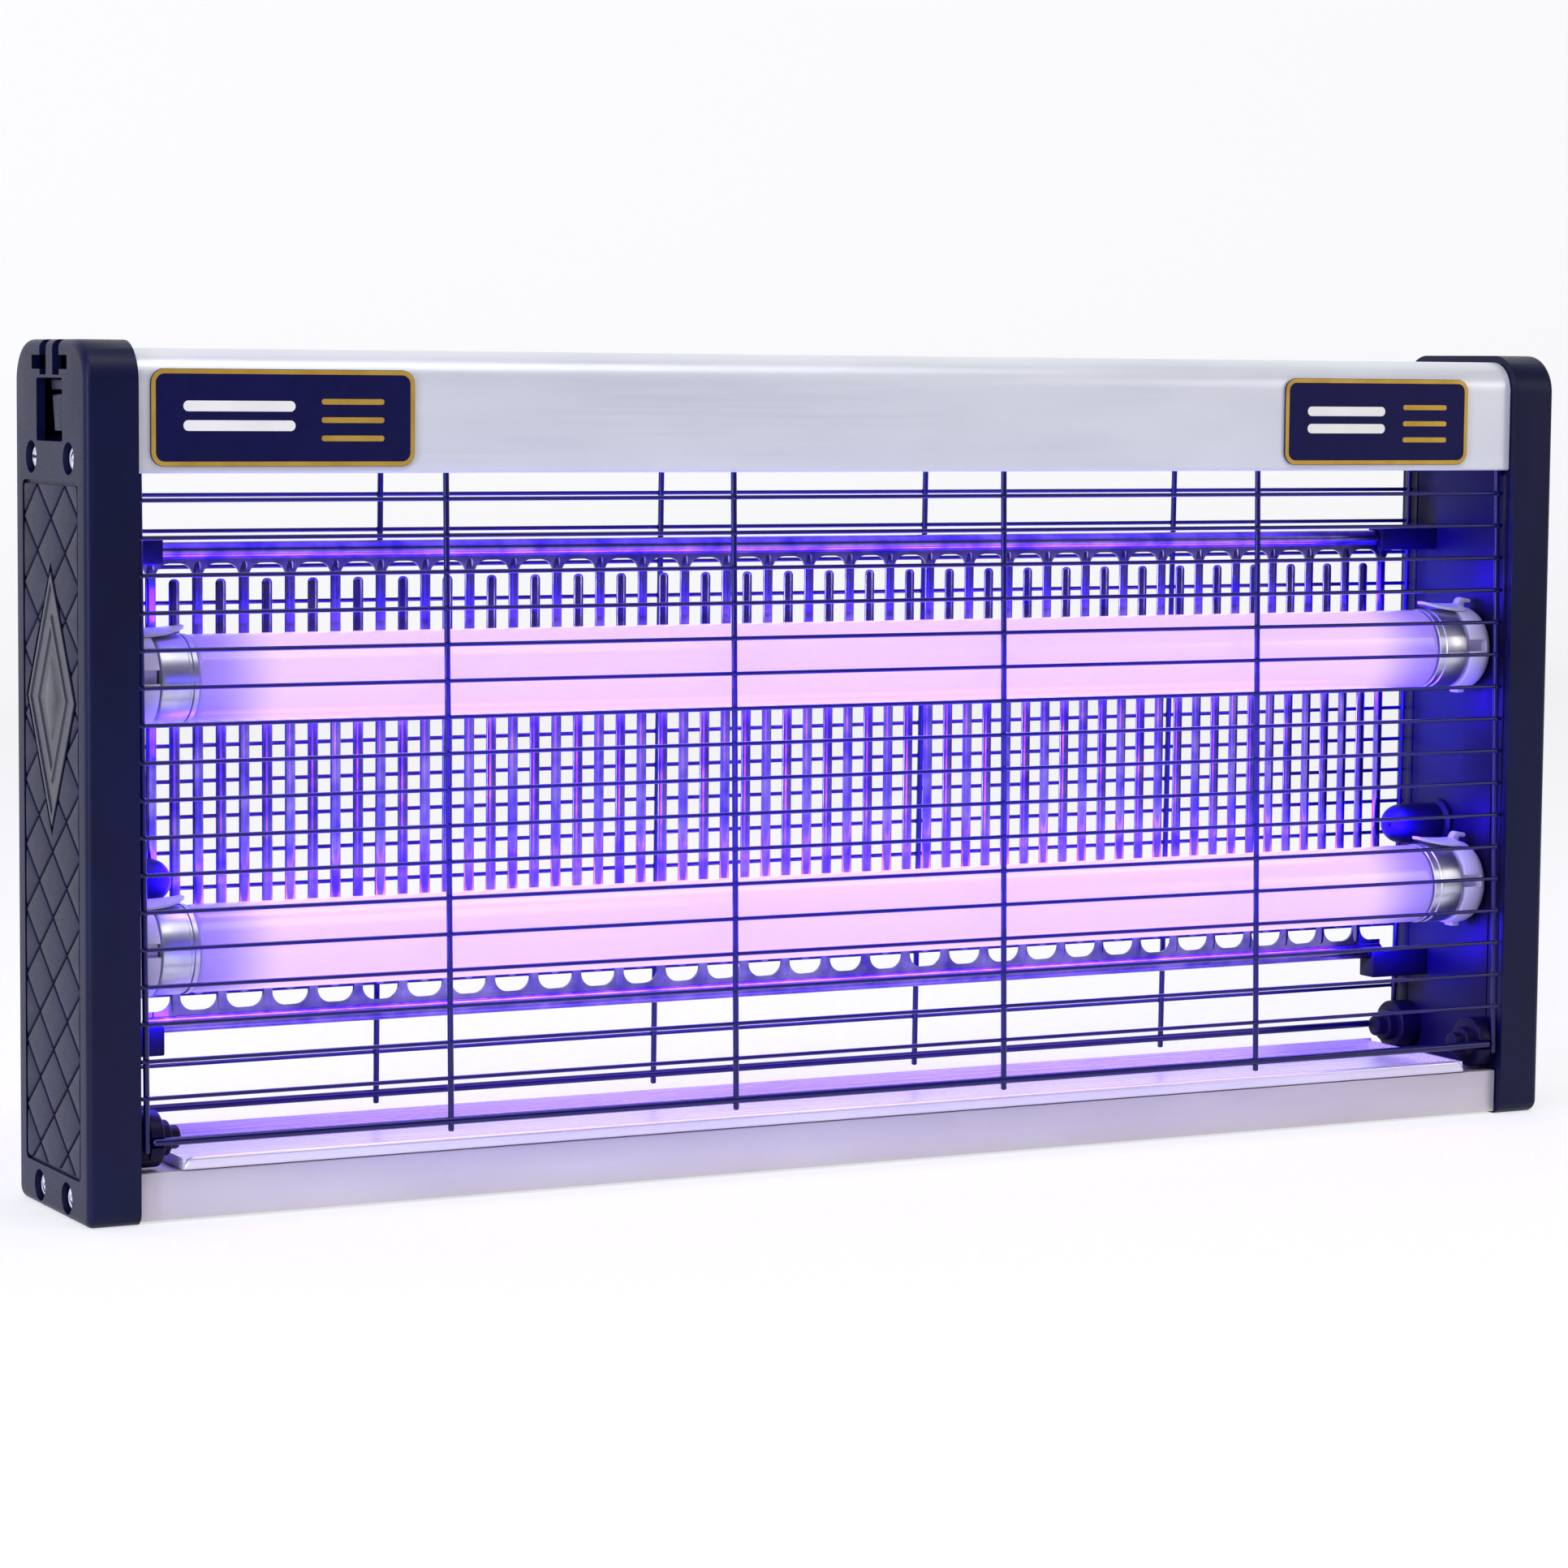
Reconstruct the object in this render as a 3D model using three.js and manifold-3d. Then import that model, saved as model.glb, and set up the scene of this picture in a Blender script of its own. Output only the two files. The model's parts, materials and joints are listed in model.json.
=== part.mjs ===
// Electric insect zapper: two ultraviolet tube lamps and a high-voltage grid of two
// interleaved combs, between two moulded end housings, with a sheet top and base, a
// slide-out tray and a hinged wire guard on each side.
// Millimetres. +X runs along the width, +Y to the back, +Z up. The origin is the middle
// of the footprint, on the surface that the appliance stands on.
import * as THREE from "three";
import { mergeVertices } from "three/addons/utils/BufferGeometryUtils.js";
import Module from "manifold-3d";

const wasm = await Module();
wasm.setup();

// ---- Driving dimensions -----------------------------------------------------------
const overallWidth = 504;
const overallDepth = 62;
const overallHeight = 250;

// Clearances
const seatGap = 0.3; // between pieces that touch or nest
const runGap = 0.4; // round a piece that turns or slides

// End housings: hollow plastic caps, open towards the middle
const housingWidth = 15.6;
const housingWall = 2.6;
const housingTopRadius = 12;
const housingFootRadius = 4;
const housingEdgeRadius = 2.4;
const patternRecess = 1; // depth of the patterned field in the outer face
const patternMargin = 7; // plain rim in front of and behind the field
const patternBottom = 12.6; // height of the field's lower edge
const patternTopDrop = 40; // from the top of the housing to the field's upper edge

// Hanging slots and latch window in each end housing
const hangSlotWidth = 5.6;
const hangBarWidth = 5.6;
const hangSlotDepth = 10; // below the top of the housing
const hangArmHalf = 15.3;
const hangArmHeight = 4;
const hangArmDrop = 6.4; // centre of the cross arms below the top
const hangCut = 5; // how far the slot cuts in over the top
const windowWidth = 22.4;
const windowHeight = 17.9;
const windowDrop = 19.8; // centre below the top
const tongueEdgeGap = 1.2; // latch tongue inside the edge of the window
const tongueTopShare = 0.25; // shares of the height and width of the window
const tongueBottomShare = 0.33;
const tongueFootShare = 0.125;
const tongueTipShare = 0.167;
const tongueTopFall = 0.8;

// Screws through the housings into the panels
const screwHeadRadius = 3.6;
const screwHeadHeight = 2.6;
const screwShankRadius = 1.9;
const screwLength = 22;
const screwWellRadius = 4.65;
const screwWellDepth = 6;
const screwBossWall = 1.4;
const upperScrewDrop = 33.4; // below the top of the housing
const upperScrewSpread = 16.2; // from the middle plane
const lowerScrewHeight = 6.2;
const lowerScrewSpread = 11.9;

// Inner covers
const coverThickness = 2.2;
const coverGrooveInset = 9; // groove from the front and back faces of the appliance
const coverGrooveWidth = 0.8;
const coverGrooveDepth = 0.5;
const coverGrooveEndGap = 1;

// Top and base panels
const panelInset = 2.8; // from the housing outline
const topPanelHeight = 35.1;
const topPanelDrop = 2.2; // below the top of the housing
const topPanelRadius = 9.5;
const topPanelWall = 1.5;
const hemHeight = 1.2;
const hemWidth = 2.2;
const chassisThickness = 1.2;
const basePanelTop = 14.5;
const basePanelLift = 0.8;
const basePanelWall = 1.5;
const portWidth = 8;
const portWall = 1.2;
const basePortHeight = 11;

// Diamond badges
const badgeHalfWidth = 20;
const badgeHalfHeight = 36.5;
const badgeDrop = 102; // centre below the top of the housing
const badgeThickness = 0.7;

// Label plates
const labelHeight = 27.5;
const labelBottomDrop = 1.9; // above the lower edge of the top panel
const leftLabelWidth = 80;
const rightLabelWidth = 71;
const labelEndGap = 4.2; // left label to the left housing
const rightLabelEndGap = 17.8; // right label to the right housing
const labelThickness = 0.6;
const labelRadius = 4;
const labelCurveShare = 0.4; // of the radius of the top panel that stays above the label

// Insect tray
const trayEndGap = 13.4; // from the ends of the tray to the inner covers
const trayFloor = 1;
const trayWall = 1;
const trayBackInset = 6; // from the back of the appliance
const trayBackHeight = 4.2;
const trayLipHeight = 3.8;
const trayLipThickness = 2.4;
const trayLipInset = 1.8; // from the front of the appliance
const trayEndHeight = 3.4;
const trayLipCorner = 3;

// Wire guards
const guardWire = 1.3;
const guardUpright = 1.8;
const guardHemWire = 2.4;
const guardRowPitch = 10.56;
const guardLastGap = 10; // least gap between the last thin wire and the hem wire
const guardFirstRow = 7.6; // first wire below the lower edge of the top panel
const guardBay = 93.7; // nominal distance between uprights
const guardUprightInset = 2.2; // outer uprights from the inner covers
const guardPivotDrop = 0.6; // pivot below the lower edge of the top panel
const guardHemHeight = 23.5;
const guardFootHeight = 20.4;
const guardTopInset = 6.5; // pivot from the front of the appliance
const frontGuardHemInset = 1.6;
const rearGuardHemInset = 3.6;
const guardHemEndGap = 3.9;
const pivotPinReach = 1.8;

// Guard clips
const clipRadius = 8.2;
const clipReach = 7.4;
const clipNeckRadius = 5.2;
const clipNeckReach = 10.6;
const clipTipRadius = 3.4;
const clipTipReach = 13.8;
const clipAxisInset = 9;

// High-voltage grid
const gridBackInset = 16; // grid plane from the back of the appliance
const gridEndGap = 19.6; // axis of the end teeth from the inner covers
const gridPitch = 7.22;
const toothWidth = 3.3;
const combThickness = 1.6;
const combRootRadius = 3.6;
const combTipGap = 4.5;
const upperRootDrop = 27.2; // below the lower edge of the top panel
const lowerRootRise = 39.7; // above the base panel
const railRadius = 2.5;
const railOffset = 3.8; // rail axis behind the roots
const railEndReach = 2.4; // rail beyond the axis of the end tooth
const bracketWall = 1.2;
const bracketHold = 5; // how far a bracket reaches along the rail
const bracketDepth = 6.2; // lower bracket under the rail axis

// Feed insulators
const insulatorRadius = 6.5;
const insulatorReach = 22;
const insulatorRise = 3.9; // axis above the foot of the lower lampholder
const insulatorGridGap = 1.3;

// Lamps, in rotary holders
const lampRadius = 12.75;
const lampGuardGap = 2.5; // from the pivot plane of the front guard to the lamp caps
const upperLampDrop = 59.1; // axis below the lower edge of the top panel
const lowerLampRise = 61.2; // axis above the base panel
const capRim = 0.25; // cap beyond the glass
const capLength = 12;
const pinRadius = 1.15;
const pinLength = 4;
const pinSpacing = 12.7;
const holderThickness = 9;
const holderRim = 0.6; // lampholder beyond the cap
const holderFootWidth = 18;
const holderFootRise = 0.8; // foot beyond the round of the lampholder
const rotorRadius = 8.6;
const rotorThickness = 5;
const rotorSlotDepth = 4.4;

// Electrical parts above the chassis plate
const ballastLength = 104;
const ballastDepth = 34;
const ballastHeight = 22;
const ballastFoot = 8;
const ballastFootThickness = 1.5;
const ballastOffset = 124;
const coreLength = 42;
const coreDepth = 18;
const coreHeight = 26;
const coreLimb = 14;
const coreYoke = 6;
const coilDepth = 30;
const boardLength = 52;
const boardDepth = 42;
const boardThickness = 1.6;
const boardOffset = 62;
const capacitorRadius = 7;
const capacitorLength = 26;
const terminalLength = 28;
const terminalDepth = 15;
const terminalHeight = 13;
const terminalPitch = 8.7;
const terminalWayRadius = 2;
const glandRadius = 6;
const glandFlangeRadius = 8.2;
const glandBore = 3.6;
const glandRightGap = 60.4; // gland axis from the right-hand inner cover
const glandThread = 5; // length inside the skin
const glandNut = 3.1;
const nutSides = 6;
const terminalGap = 34; // terminal block from the gland
const glandFlange = 2.2;

// Facets
const roundSides = 16;
const smallSides = 8;

// ---- Places worked out from the driving dimensions --------------------------------
const halfWidth = overallWidth / 2;
const halfDepth = overallDepth / 2;
const wallX = halfWidth - housingWidth; // inner face of the inner covers
const coverBackX = wallX + coverThickness;
const panelHalfDepth = halfDepth - panelInset;
const panelHalfLength = wallX - seatGap;
const topPanelTop = overallHeight - topPanelDrop;
const topPanelBottom = topPanelTop - topPanelHeight;
const chassisBottom = topPanelBottom + hemHeight + seatGap;
const chassisTop = chassisBottom + chassisThickness;
const upperScrewHeight = overallHeight - upperScrewDrop;
const screwHoleRadius = screwShankRadius + seatGap;
const portTop = upperScrewHeight + screwHoleRadius + portWall;
const screwSeatX = halfWidth - screwWellDepth;
const pivotHeight = topPanelBottom - guardPivotDrop;
const guardY = halfDepth - guardTopInset;
const gridSideTeeth = Math.floor((wallX - gridEndGap) / gridPitch);
const gridTeeth = 2 * gridSideTeeth + 1;
const gridY = halfDepth - gridBackInset;
const railEndX = gridSideTeeth * gridPitch + railEndReach;
const upperRootHeight = topPanelBottom - upperRootDrop;
const lowerRootHeight = basePanelTop + lowerRootRise;
const upperRailHeight = upperRootHeight + railOffset;
const lowerRailHeight = lowerRootHeight - railOffset;
const capEndX = wallX - seatGap - holderThickness - runGap;
const glassEndX = capEndX - capLength;
const capRadius = lampRadius + capRim;
const holderRadius = capRadius + holderRim;
const holderFootHeight = holderRadius + holderFootRise;
const lampY = -(guardY - lampGuardGap - capRadius);
const upperLampHeight = topPanelBottom - upperLampDrop;
const lowerLampHeight = basePanelTop + lowerLampRise;
const insulatorY = gridY - combThickness / 2 - insulatorGridGap - insulatorRadius;
const insulatorHeight = lowerLampHeight + holderFootHeight + insulatorRise;
// The feet of the lampholders stay in front of the insulators.
const holderFootHalf = Math.min(holderFootWidth / 2, insulatorY - insulatorRadius - lampY);
const badgeHeight = overallHeight - badgeDrop;
const trayHalfLength = wallX - trayEndGap;
const guardFirstHeight = topPanelBottom - guardFirstRow;
const guardRows = Math.floor((guardFirstHeight - guardHemHeight - guardLastGap) / guardRowPitch) + 1;
const guardUprightX = wallX - guardUprightInset;
const guardBays = Math.round((2 * guardUprightX) / guardBay);
// The cable gland sits half-way up the flat part of the top panel's back.
const glandX = wallX - glandRightGap;
const glandZ = (chassisTop + topPanelTop - topPanelRadius) / 2;
const equipmentFloor = chassisTop + seatGap;

// ---- Finishes ---------------------------------------------------------------------
const finishes = {
  blackPlastic: { color: "#2a2c36", roughness: 0.5, metalness: 0 },
  innerPlastic: { color: "#16161f", roughness: 0.45, metalness: 0 },
  badgePlastic: { color: "#30323d", roughness: 0.35, metalness: 0 },
  sheet: { color: "#e4e6e9", roughness: 0.4, metalness: 0.6 },
  baseSheet: { color: "#c8c2d0", roughness: 0.4, metalness: 0.6 },
  traySheet: { color: "#d9d4e0", roughness: 0.3, metalness: 0.8 },
  wire: { color: "#1a1a33", roughness: 0.35, metalness: 0.2 },
  polishedMetal: { color: "#c9c9d4", roughness: 0.15, metalness: 1 },
  lampGlass: { color: "#e9c8ff", roughness: 0.2, metalness: 0 },
  capMetal: { color: "#c4c4c8", roughness: 0.3, metalness: 1 },
  whitePlastic: { color: "#eeeaf0", roughness: 0.5, metalness: 0 },
  screwSteel: { color: "#d0d0d4", roughness: 0.25, metalness: 1 },
  label: { color: "#0a0a50", roughness: 0.35, metalness: 0 },
  coreSteel: { color: "#55575c", roughness: 0.5, metalness: 0.8 },
  copper: { color: "#b5652b", roughness: 0.4, metalness: 0.8 },
  ballastCase: { color: "#e6e6e2", roughness: 0.45, metalness: 0.1 },
  boardLaminate: { color: "#1f5a33", roughness: 0.5, metalness: 0 },
  capacitorSleeve: { color: "#1b3f8a", roughness: 0.4, metalness: 0 },
};

// ---- Solids -----------------------------------------------------------------------
/** Turns a closed three.js geometry into a solid that can be joined and cut. */
function solid(geometry) {
  const bare = geometry.clone();
  bare.deleteAttribute("normal");
  bare.deleteAttribute("uv");
  const merged = mergeVertices(bare, 1e-4);
  return new wasm.Manifold(
    new wasm.Mesh({
      numProp: 3,
      vertProperties: new Float32Array(merged.attributes.position.array),
      triVerts: new Uint32Array(merged.index.array),
    }),
  );
}

/** Turns a solid back into a geometry. */
function geometryOf(body) {
  const mesh = body.getMesh();
  const geometry = new THREE.BufferGeometry();
  geometry.setAttribute("position", new THREE.BufferAttribute(mesh.vertProperties, 3));
  geometry.setIndex(new THREE.BufferAttribute(mesh.triVerts, 1));
  geometry.computeVertexNormals();
  return geometry;
}

/** A box between two corners. */
function box(low, high) {
  const size = high.map((value, axis) => value - low[axis]);
  const geometry = new THREE.BoxGeometry(...size);
  geometry.translate(...high.map((value, axis) => (value + low[axis]) / 2));
  return solid(geometry);
}

/** A rod along one axis, from one place on that axis to another. */
function rod(axis, centre, radius, from, to, sides = smallSides) {
  const geometry = new THREE.CylinderGeometry(radius, radius, Math.abs(to - from), sides);
  if (axis === "x") geometry.rotateZ(-Math.PI / 2);
  if (axis === "z") geometry.rotateX(Math.PI / 2);
  const middle = (from + to) / 2;
  if (axis === "x") geometry.translate(middle, centre[0], centre[1]);
  if (axis === "y") geometry.translate(centre[0], middle, centre[1]);
  if (axis === "z") geometry.translate(centre[0], centre[1], middle);
  return solid(geometry);
}

/** Extrudes an outline drawn in Y and Z along X. */
function alongX(shape, from, to, curveSegments = 5) {
  const geometry = new THREE.ExtrudeGeometry(shape, {
    depth: to - from,
    bevelEnabled: false,
    curveSegments,
  });
  const turn = new THREE.Matrix4().makeBasis(
    new THREE.Vector3(0, 1, 0),
    new THREE.Vector3(0, 0, 1),
    new THREE.Vector3(1, 0, 0),
  );
  geometry.applyMatrix4(turn);
  geometry.translate(from, 0, 0);
  return solid(geometry);
}

/** Extrudes an outline drawn in X and Z along Y. */
function alongY(shape, from, to, curveSegments = 2) {
  const geometry = new THREE.ExtrudeGeometry(shape, {
    depth: to - from,
    bevelEnabled: false,
    curveSegments,
  });
  geometry.rotateX(Math.PI / 2);
  geometry.translate(0, to, 0);
  return solid(geometry);
}

/** Joins a list of solids into one. */
function join(bodies) {
  return bodies.reduce((whole, body) => whole.add(body));
}

/** Cuts a list of solids out of one. */
function cut(body, tools) {
  return tools.reduce((rest, tool) => rest.subtract(tool), body);
}

const group = new THREE.Group();

/** Adds a solid to the model as a named mesh with its own material. */
function part(name, body, finish) {
  const mesh = new THREE.Mesh(geometryOf(body), new THREE.MeshStandardMaterial(finishes[finish]));
  mesh.name = name;
  group.add(mesh);
  return mesh;
}

/** The two ends of the appliance. The end on the right is the mirror image of the left. */
const ends = [
  { side: "left", sign: -1 },
  { side: "right", sign: 1 },
];

/** Mirrors a solid drawn for the right-hand end when the left-hand one is wanted. */
function forEnd(body, sign) {
  return sign > 0 ? body : body.mirror([1, 0, 0]);
}

/** Mirrors a solid drawn for the back when the front one is wanted. */
function forFace(body, sign) {
  return sign > 0 ? body : body.mirror([0, 1, 0]);
}

// ---- End housings -----------------------------------------------------------------
/** Outline of an end housing in Y and Z, drawn smaller by the inset. */
function housingOutline(inset) {
  const y = halfDepth - inset;
  const low = inset;
  const high = overallHeight - inset;
  const top = Math.max(housingTopRadius - inset, 0.5);
  const foot = Math.max(housingFootRadius - inset, 0.5);
  const shape = new THREE.Shape();
  shape.moveTo(-y + foot, low);
  shape.lineTo(y - foot, low);
  shape.absarc(y - foot, low + foot, foot, -Math.PI / 2, 0);
  shape.lineTo(y, high - top);
  shape.absarc(y - top, high - top, top, 0, Math.PI / 2);
  shape.lineTo(-y + top, high);
  shape.absarc(-y + top, high - top, top, Math.PI / 2, Math.PI);
  shape.lineTo(-y, low + foot);
  shape.absarc(-y + foot, low + foot, foot, Math.PI, Math.PI * 1.5);
  return shape;
}

/** The block of an end housing with its outer edge rounded, for the right-hand end. */
function housingBlock() {
  const geometry = new THREE.ExtrudeGeometry(housingOutline(0), {
    depth: housingWidth,
    bevelEnabled: true,
    bevelThickness: housingEdgeRadius,
    bevelSize: housingEdgeRadius,
    bevelOffset: -housingEdgeRadius,
    bevelSegments: 2,
    curveSegments: 5,
  });
  const turn = new THREE.Matrix4().makeBasis(
    new THREE.Vector3(0, 1, 0),
    new THREE.Vector3(0, 0, 1),
    new THREE.Vector3(1, 0, 0),
  );
  geometry.applyMatrix4(turn);
  geometry.translate(halfWidth - housingWidth - housingEdgeRadius, 0, 0);
  const keep = box(
    [wallX, -overallDepth, -overallHeight],
    [overallWidth, overallDepth, overallHeight * 2],
  );
  return solid(geometry).intersect(keep);
}

/** Places of the four screws of one housing, in Y and Z. */
function screwPlaces() {
  return [
    ["upper_rear", upperScrewSpread, upperScrewHeight],
    ["upper_front", -upperScrewSpread, upperScrewHeight],
    ["lower_rear", lowerScrewSpread, lowerScrewHeight],
    ["lower_front", -lowerScrewSpread, lowerScrewHeight],
  ];
}

/** The two slots beside the hanging bar, with their cross arms, open over the top. */
function hangingSlots() {
  const top = overallHeight;
  const innerY = hangBarWidth / 2;
  const outerY = innerY + hangSlotWidth;
  const armZ = top - hangArmDrop;
  const through = halfWidth - housingWall - seatGap;
  const tools = [];
  for (const sign of [-1, 1]) {
    const slot = box([through, innerY, top - hangSlotDepth], [overallWidth, outerY, top - housingWall]);
    const mouth = box(
      [halfWidth - hangCut, innerY, top - hangSlotDepth / 2],
      [overallWidth, outerY, top * 2],
    );
    const arm = box(
      [through, innerY, armZ - hangArmHeight / 2],
      [overallWidth, hangArmHalf, armZ + hangArmHeight / 2],
    );
    tools.push(forFace(join([slot, mouth, arm]), sign));
  }
  return tools;
}

/** A hollow end housing, for the right-hand end. */
function endHousing() {
  const cavity = alongX(housingOutline(housingWall), wallX - seatGap, halfWidth - housingWall);
  const bossRadius = screwWellRadius + screwBossWall;
  const bossStart = coverBackX + seatGap;
  const block = housingBlock();
  const shell = block.subtract(cavity);
  const bossEnd = halfWidth - housingWall / 2;
  const bosses = screwPlaces().map(([, y, z]) =>
    rod("x", [y, z], bossRadius, bossStart, bossEnd, roundSides),
  );
  const wells = screwPlaces().flatMap(([, y, z]) => [
    rod("x", [y, z], screwWellRadius, screwSeatX, overallWidth, roundSides),
    rod("x", [y, z], screwHoleRadius, wallX - seatGap, overallWidth),
  ]);
  const field = box(
    [halfWidth - patternRecess, -halfDepth + patternMargin, patternBottom],
    [overallWidth, halfDepth - patternMargin, overallHeight - patternTopDrop],
  );
  const windowZ = overallHeight - windowDrop;
  const window = box(
    [halfWidth - housingWall - seatGap, -windowWidth / 2, windowZ - windowHeight / 2],
    [overallWidth, windowWidth / 2, windowZ + windowHeight / 2],
  );
  const body = join([shell, ...bosses]).intersect(block);
  return cut(body, [...wells, field, window, ...hangingSlots()]);
}

/** The flat cover that closes a housing on its inner side, for the right-hand end. */
function innerCover() {
  const plate = alongX(housingOutline(housingWall + seatGap), wallX, coverBackX);
  const screwHoles = screwPlaces().map(([, y, z]) =>
    rod("x", [y, z], screwHoleRadius, 0, overallWidth),
  );
  const pivots = [-1, 1].map((sign) =>
    rod("x", [sign * guardY, pivotHeight], guardUpright / 2 + runGap, 0, overallWidth),
  );
  const grooveY = halfDepth - coverGrooveInset;
  const grooves = [-1, 1].map((sign) =>
    forFace(
      box(
        [wallX - seatGap, grooveY, basePanelTop + coverGrooveEndGap],
        [wallX + coverGrooveDepth, grooveY + coverGrooveWidth, topPanelBottom - coverGrooveEndGap],
      ),
      sign,
    ),
  );
  return cut(plate, [...screwHoles, ...pivots, ...grooves]);
}

/** A raised diamond badge in the patterned field, for the right-hand end. */
function badge() {
  const shape = new THREE.Shape();
  shape.moveTo(0, badgeHeight - badgeHalfHeight);
  shape.lineTo(badgeHalfWidth, badgeHeight);
  shape.lineTo(0, badgeHeight + badgeHalfHeight);
  shape.lineTo(-badgeHalfWidth, badgeHeight);
  const start = halfWidth - patternRecess + seatGap;
  return alongX(shape, start, start + badgeThickness);
}

/** The sloping latch tongue behind the window, for the right-hand end. */
function latchTongue() {
  const windowZ = overallHeight - windowDrop;
  const topZ = windowZ + windowHeight * tongueTopShare;
  const bottomZ = windowZ - windowHeight * tongueBottomShare;
  const edgeY = windowWidth / 2 - tongueEdgeGap;
  const shape = new THREE.Shape();
  shape.moveTo(-edgeY, bottomZ);
  shape.lineTo(-windowWidth * tongueFootShare, bottomZ);
  shape.lineTo(windowWidth * tongueTipShare, topZ - tongueTopFall);
  shape.lineTo(-edgeY, topZ);
  const tongueTop = halfWidth - housingWall - seatGap;
  return alongX(shape, coverBackX + seatGap, tongueTop);
}

/** A pan-head screw with its axis along X, for the right-hand end. */
function housingScrew(y, z) {
  const seat = screwSeatX + seatGap;
  const head = rod("x", [y, z], screwHeadRadius, seat, seat + screwHeadHeight, roundSides);
  const shankEnd = seat + screwHeadHeight / 2;
  const shank = rod("x", [y, z], screwShankRadius, shankEnd - screwLength, shankEnd);
  return join([head, shank]);
}

for (const { side, sign } of ends) {
  part(`end_housing_${side}`, forEnd(endHousing(), sign), "blackPlastic");
  part(`inner_cover_${side}`, forEnd(innerCover(), sign), "innerPlastic");
  part(`badge_${side}`, forEnd(badge(), sign), "badgePlastic");
  part(`latch_tongue_${side}`, forEnd(latchTongue(), sign), "innerPlastic");
  for (const [place, y, z] of screwPlaces()) {
    part(`screw_${side}_${place}`, forEnd(housingScrew(y, z), sign), "screwSteel");
  }
}

// ---- Panels -----------------------------------------------------------------------
/** The inverted-U top panel with hemmed lower edges. */
function topPanel() {
  const y = panelHalfDepth;
  const r = topPanelRadius;
  const wall = topPanelWall;
  const shape = new THREE.Shape();
  shape.moveTo(y - hemWidth, topPanelBottom);
  shape.lineTo(y, topPanelBottom);
  shape.lineTo(y, topPanelTop - r);
  shape.absarc(y - r, topPanelTop - r, r, 0, Math.PI / 2);
  shape.lineTo(-y + r, topPanelTop);
  shape.absarc(-y + r, topPanelTop - r, r, Math.PI / 2, Math.PI);
  shape.lineTo(-y, topPanelBottom);
  shape.lineTo(-y + hemWidth, topPanelBottom);
  shape.lineTo(-y + hemWidth, topPanelBottom + hemHeight);
  shape.lineTo(-y + wall, topPanelBottom + hemHeight);
  shape.lineTo(-y + wall, topPanelTop - r);
  shape.absarc(-y + r, topPanelTop - r, r - wall, Math.PI, Math.PI / 2, true);
  shape.lineTo(y - r, topPanelTop - wall);
  shape.absarc(y - r, topPanelTop - r, r - wall, Math.PI / 2, 0, true);
  shape.lineTo(y - wall, topPanelBottom + hemHeight);
  shape.lineTo(y - hemWidth, topPanelBottom + hemHeight);
  const shell = alongX(shape, -panelHalfLength, panelHalfLength);
  const glandHole = rod("y", [glandX, glandZ], glandRadius + seatGap, 0, overallDepth, roundSides);
  return shell.subtract(glandHole);
}

/** The plate under the electrical parts, with a screw port along each side. */
function chassisPlate() {
  const halfY = panelHalfDepth - topPanelWall - seatGap;
  const plate = box([-panelHalfLength, -halfY, chassisBottom], [panelHalfLength, halfY, chassisTop]);
  const ports = [];
  const bores = [];
  for (const sign of [-1, 1]) {
    const y = sign * upperScrewSpread;
    ports.push(
      box(
        [-panelHalfLength, y - portWidth / 2, upperScrewHeight - screwHoleRadius - portWall],
        [panelHalfLength, y + portWidth / 2, upperScrewHeight + screwHoleRadius + portWall],
      ),
    );
    bores.push(rod("x", [y, upperScrewHeight], screwHoleRadius, -halfWidth, halfWidth));
  }
  return cut(join([plate, ...ports]), bores);
}

/** The base panel: a shallow inverted channel whose deck carries the tray. */
function basePanel() {
  const y = panelHalfDepth;
  const outer = box([-panelHalfLength, -y, basePanelLift], [panelHalfLength, y, basePanelTop]);
  const inner = box(
    [-overallWidth, -y + basePanelWall, -overallHeight],
    [overallWidth, y - basePanelWall, basePanelTop - basePanelWall],
  );
  const ports = [];
  const bores = [];
  for (const sign of [-1, 1]) {
    const portY = sign * lowerScrewSpread;
    ports.push(
      box(
        [-panelHalfLength, portY - portWidth / 2, basePanelTop - basePanelWall / 2 - basePortHeight],
        [panelHalfLength, portY + portWidth / 2, basePanelTop - basePanelWall / 2],
      ),
    );
    bores.push(rod("x", [portY, lowerScrewHeight], screwHoleRadius, -halfWidth, halfWidth));
  }
  return cut(join([outer.subtract(inner), ...ports]), bores);
}

/** A thin rounded label plate on the front of the top panel. */
function labelPlate(fromX, toX) {
  const low = topPanelBottom + labelBottomDrop;
  const room = topPanelHeight - labelBottomDrop - topPanelRadius * labelCurveShare;
  const high = low + Math.min(labelHeight, room);
  const r = labelRadius;
  const shape = new THREE.Shape();
  shape.moveTo(fromX + r, low);
  shape.lineTo(toX - r, low);
  shape.absarc(toX - r, low + r, r, -Math.PI / 2, 0);
  shape.lineTo(toX, high - r);
  shape.absarc(toX - r, high - r, r, 0, Math.PI / 2);
  shape.lineTo(fromX + r, high);
  shape.absarc(fromX + r, high - r, r, Math.PI / 2, Math.PI);
  shape.lineTo(fromX, low + r);
  shape.absarc(fromX + r, low + r, r, Math.PI, Math.PI * 1.5);
  const face = -panelHalfDepth - seatGap;
  return alongY(shape, face - labelThickness, face);
}

part("top_panel", topPanel(), "sheet");
part("chassis_plate", chassisPlate(), "sheet");
part("base_panel", basePanel(), "baseSheet");
const leftLabelX = -wallX + labelEndGap;
const rightLabelX = wallX - rightLabelEndGap;
part("label_left", labelPlate(leftLabelX, leftLabelX + leftLabelWidth), "label");
part("label_right", labelPlate(rightLabelX - rightLabelWidth, rightLabelX), "label");

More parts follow.
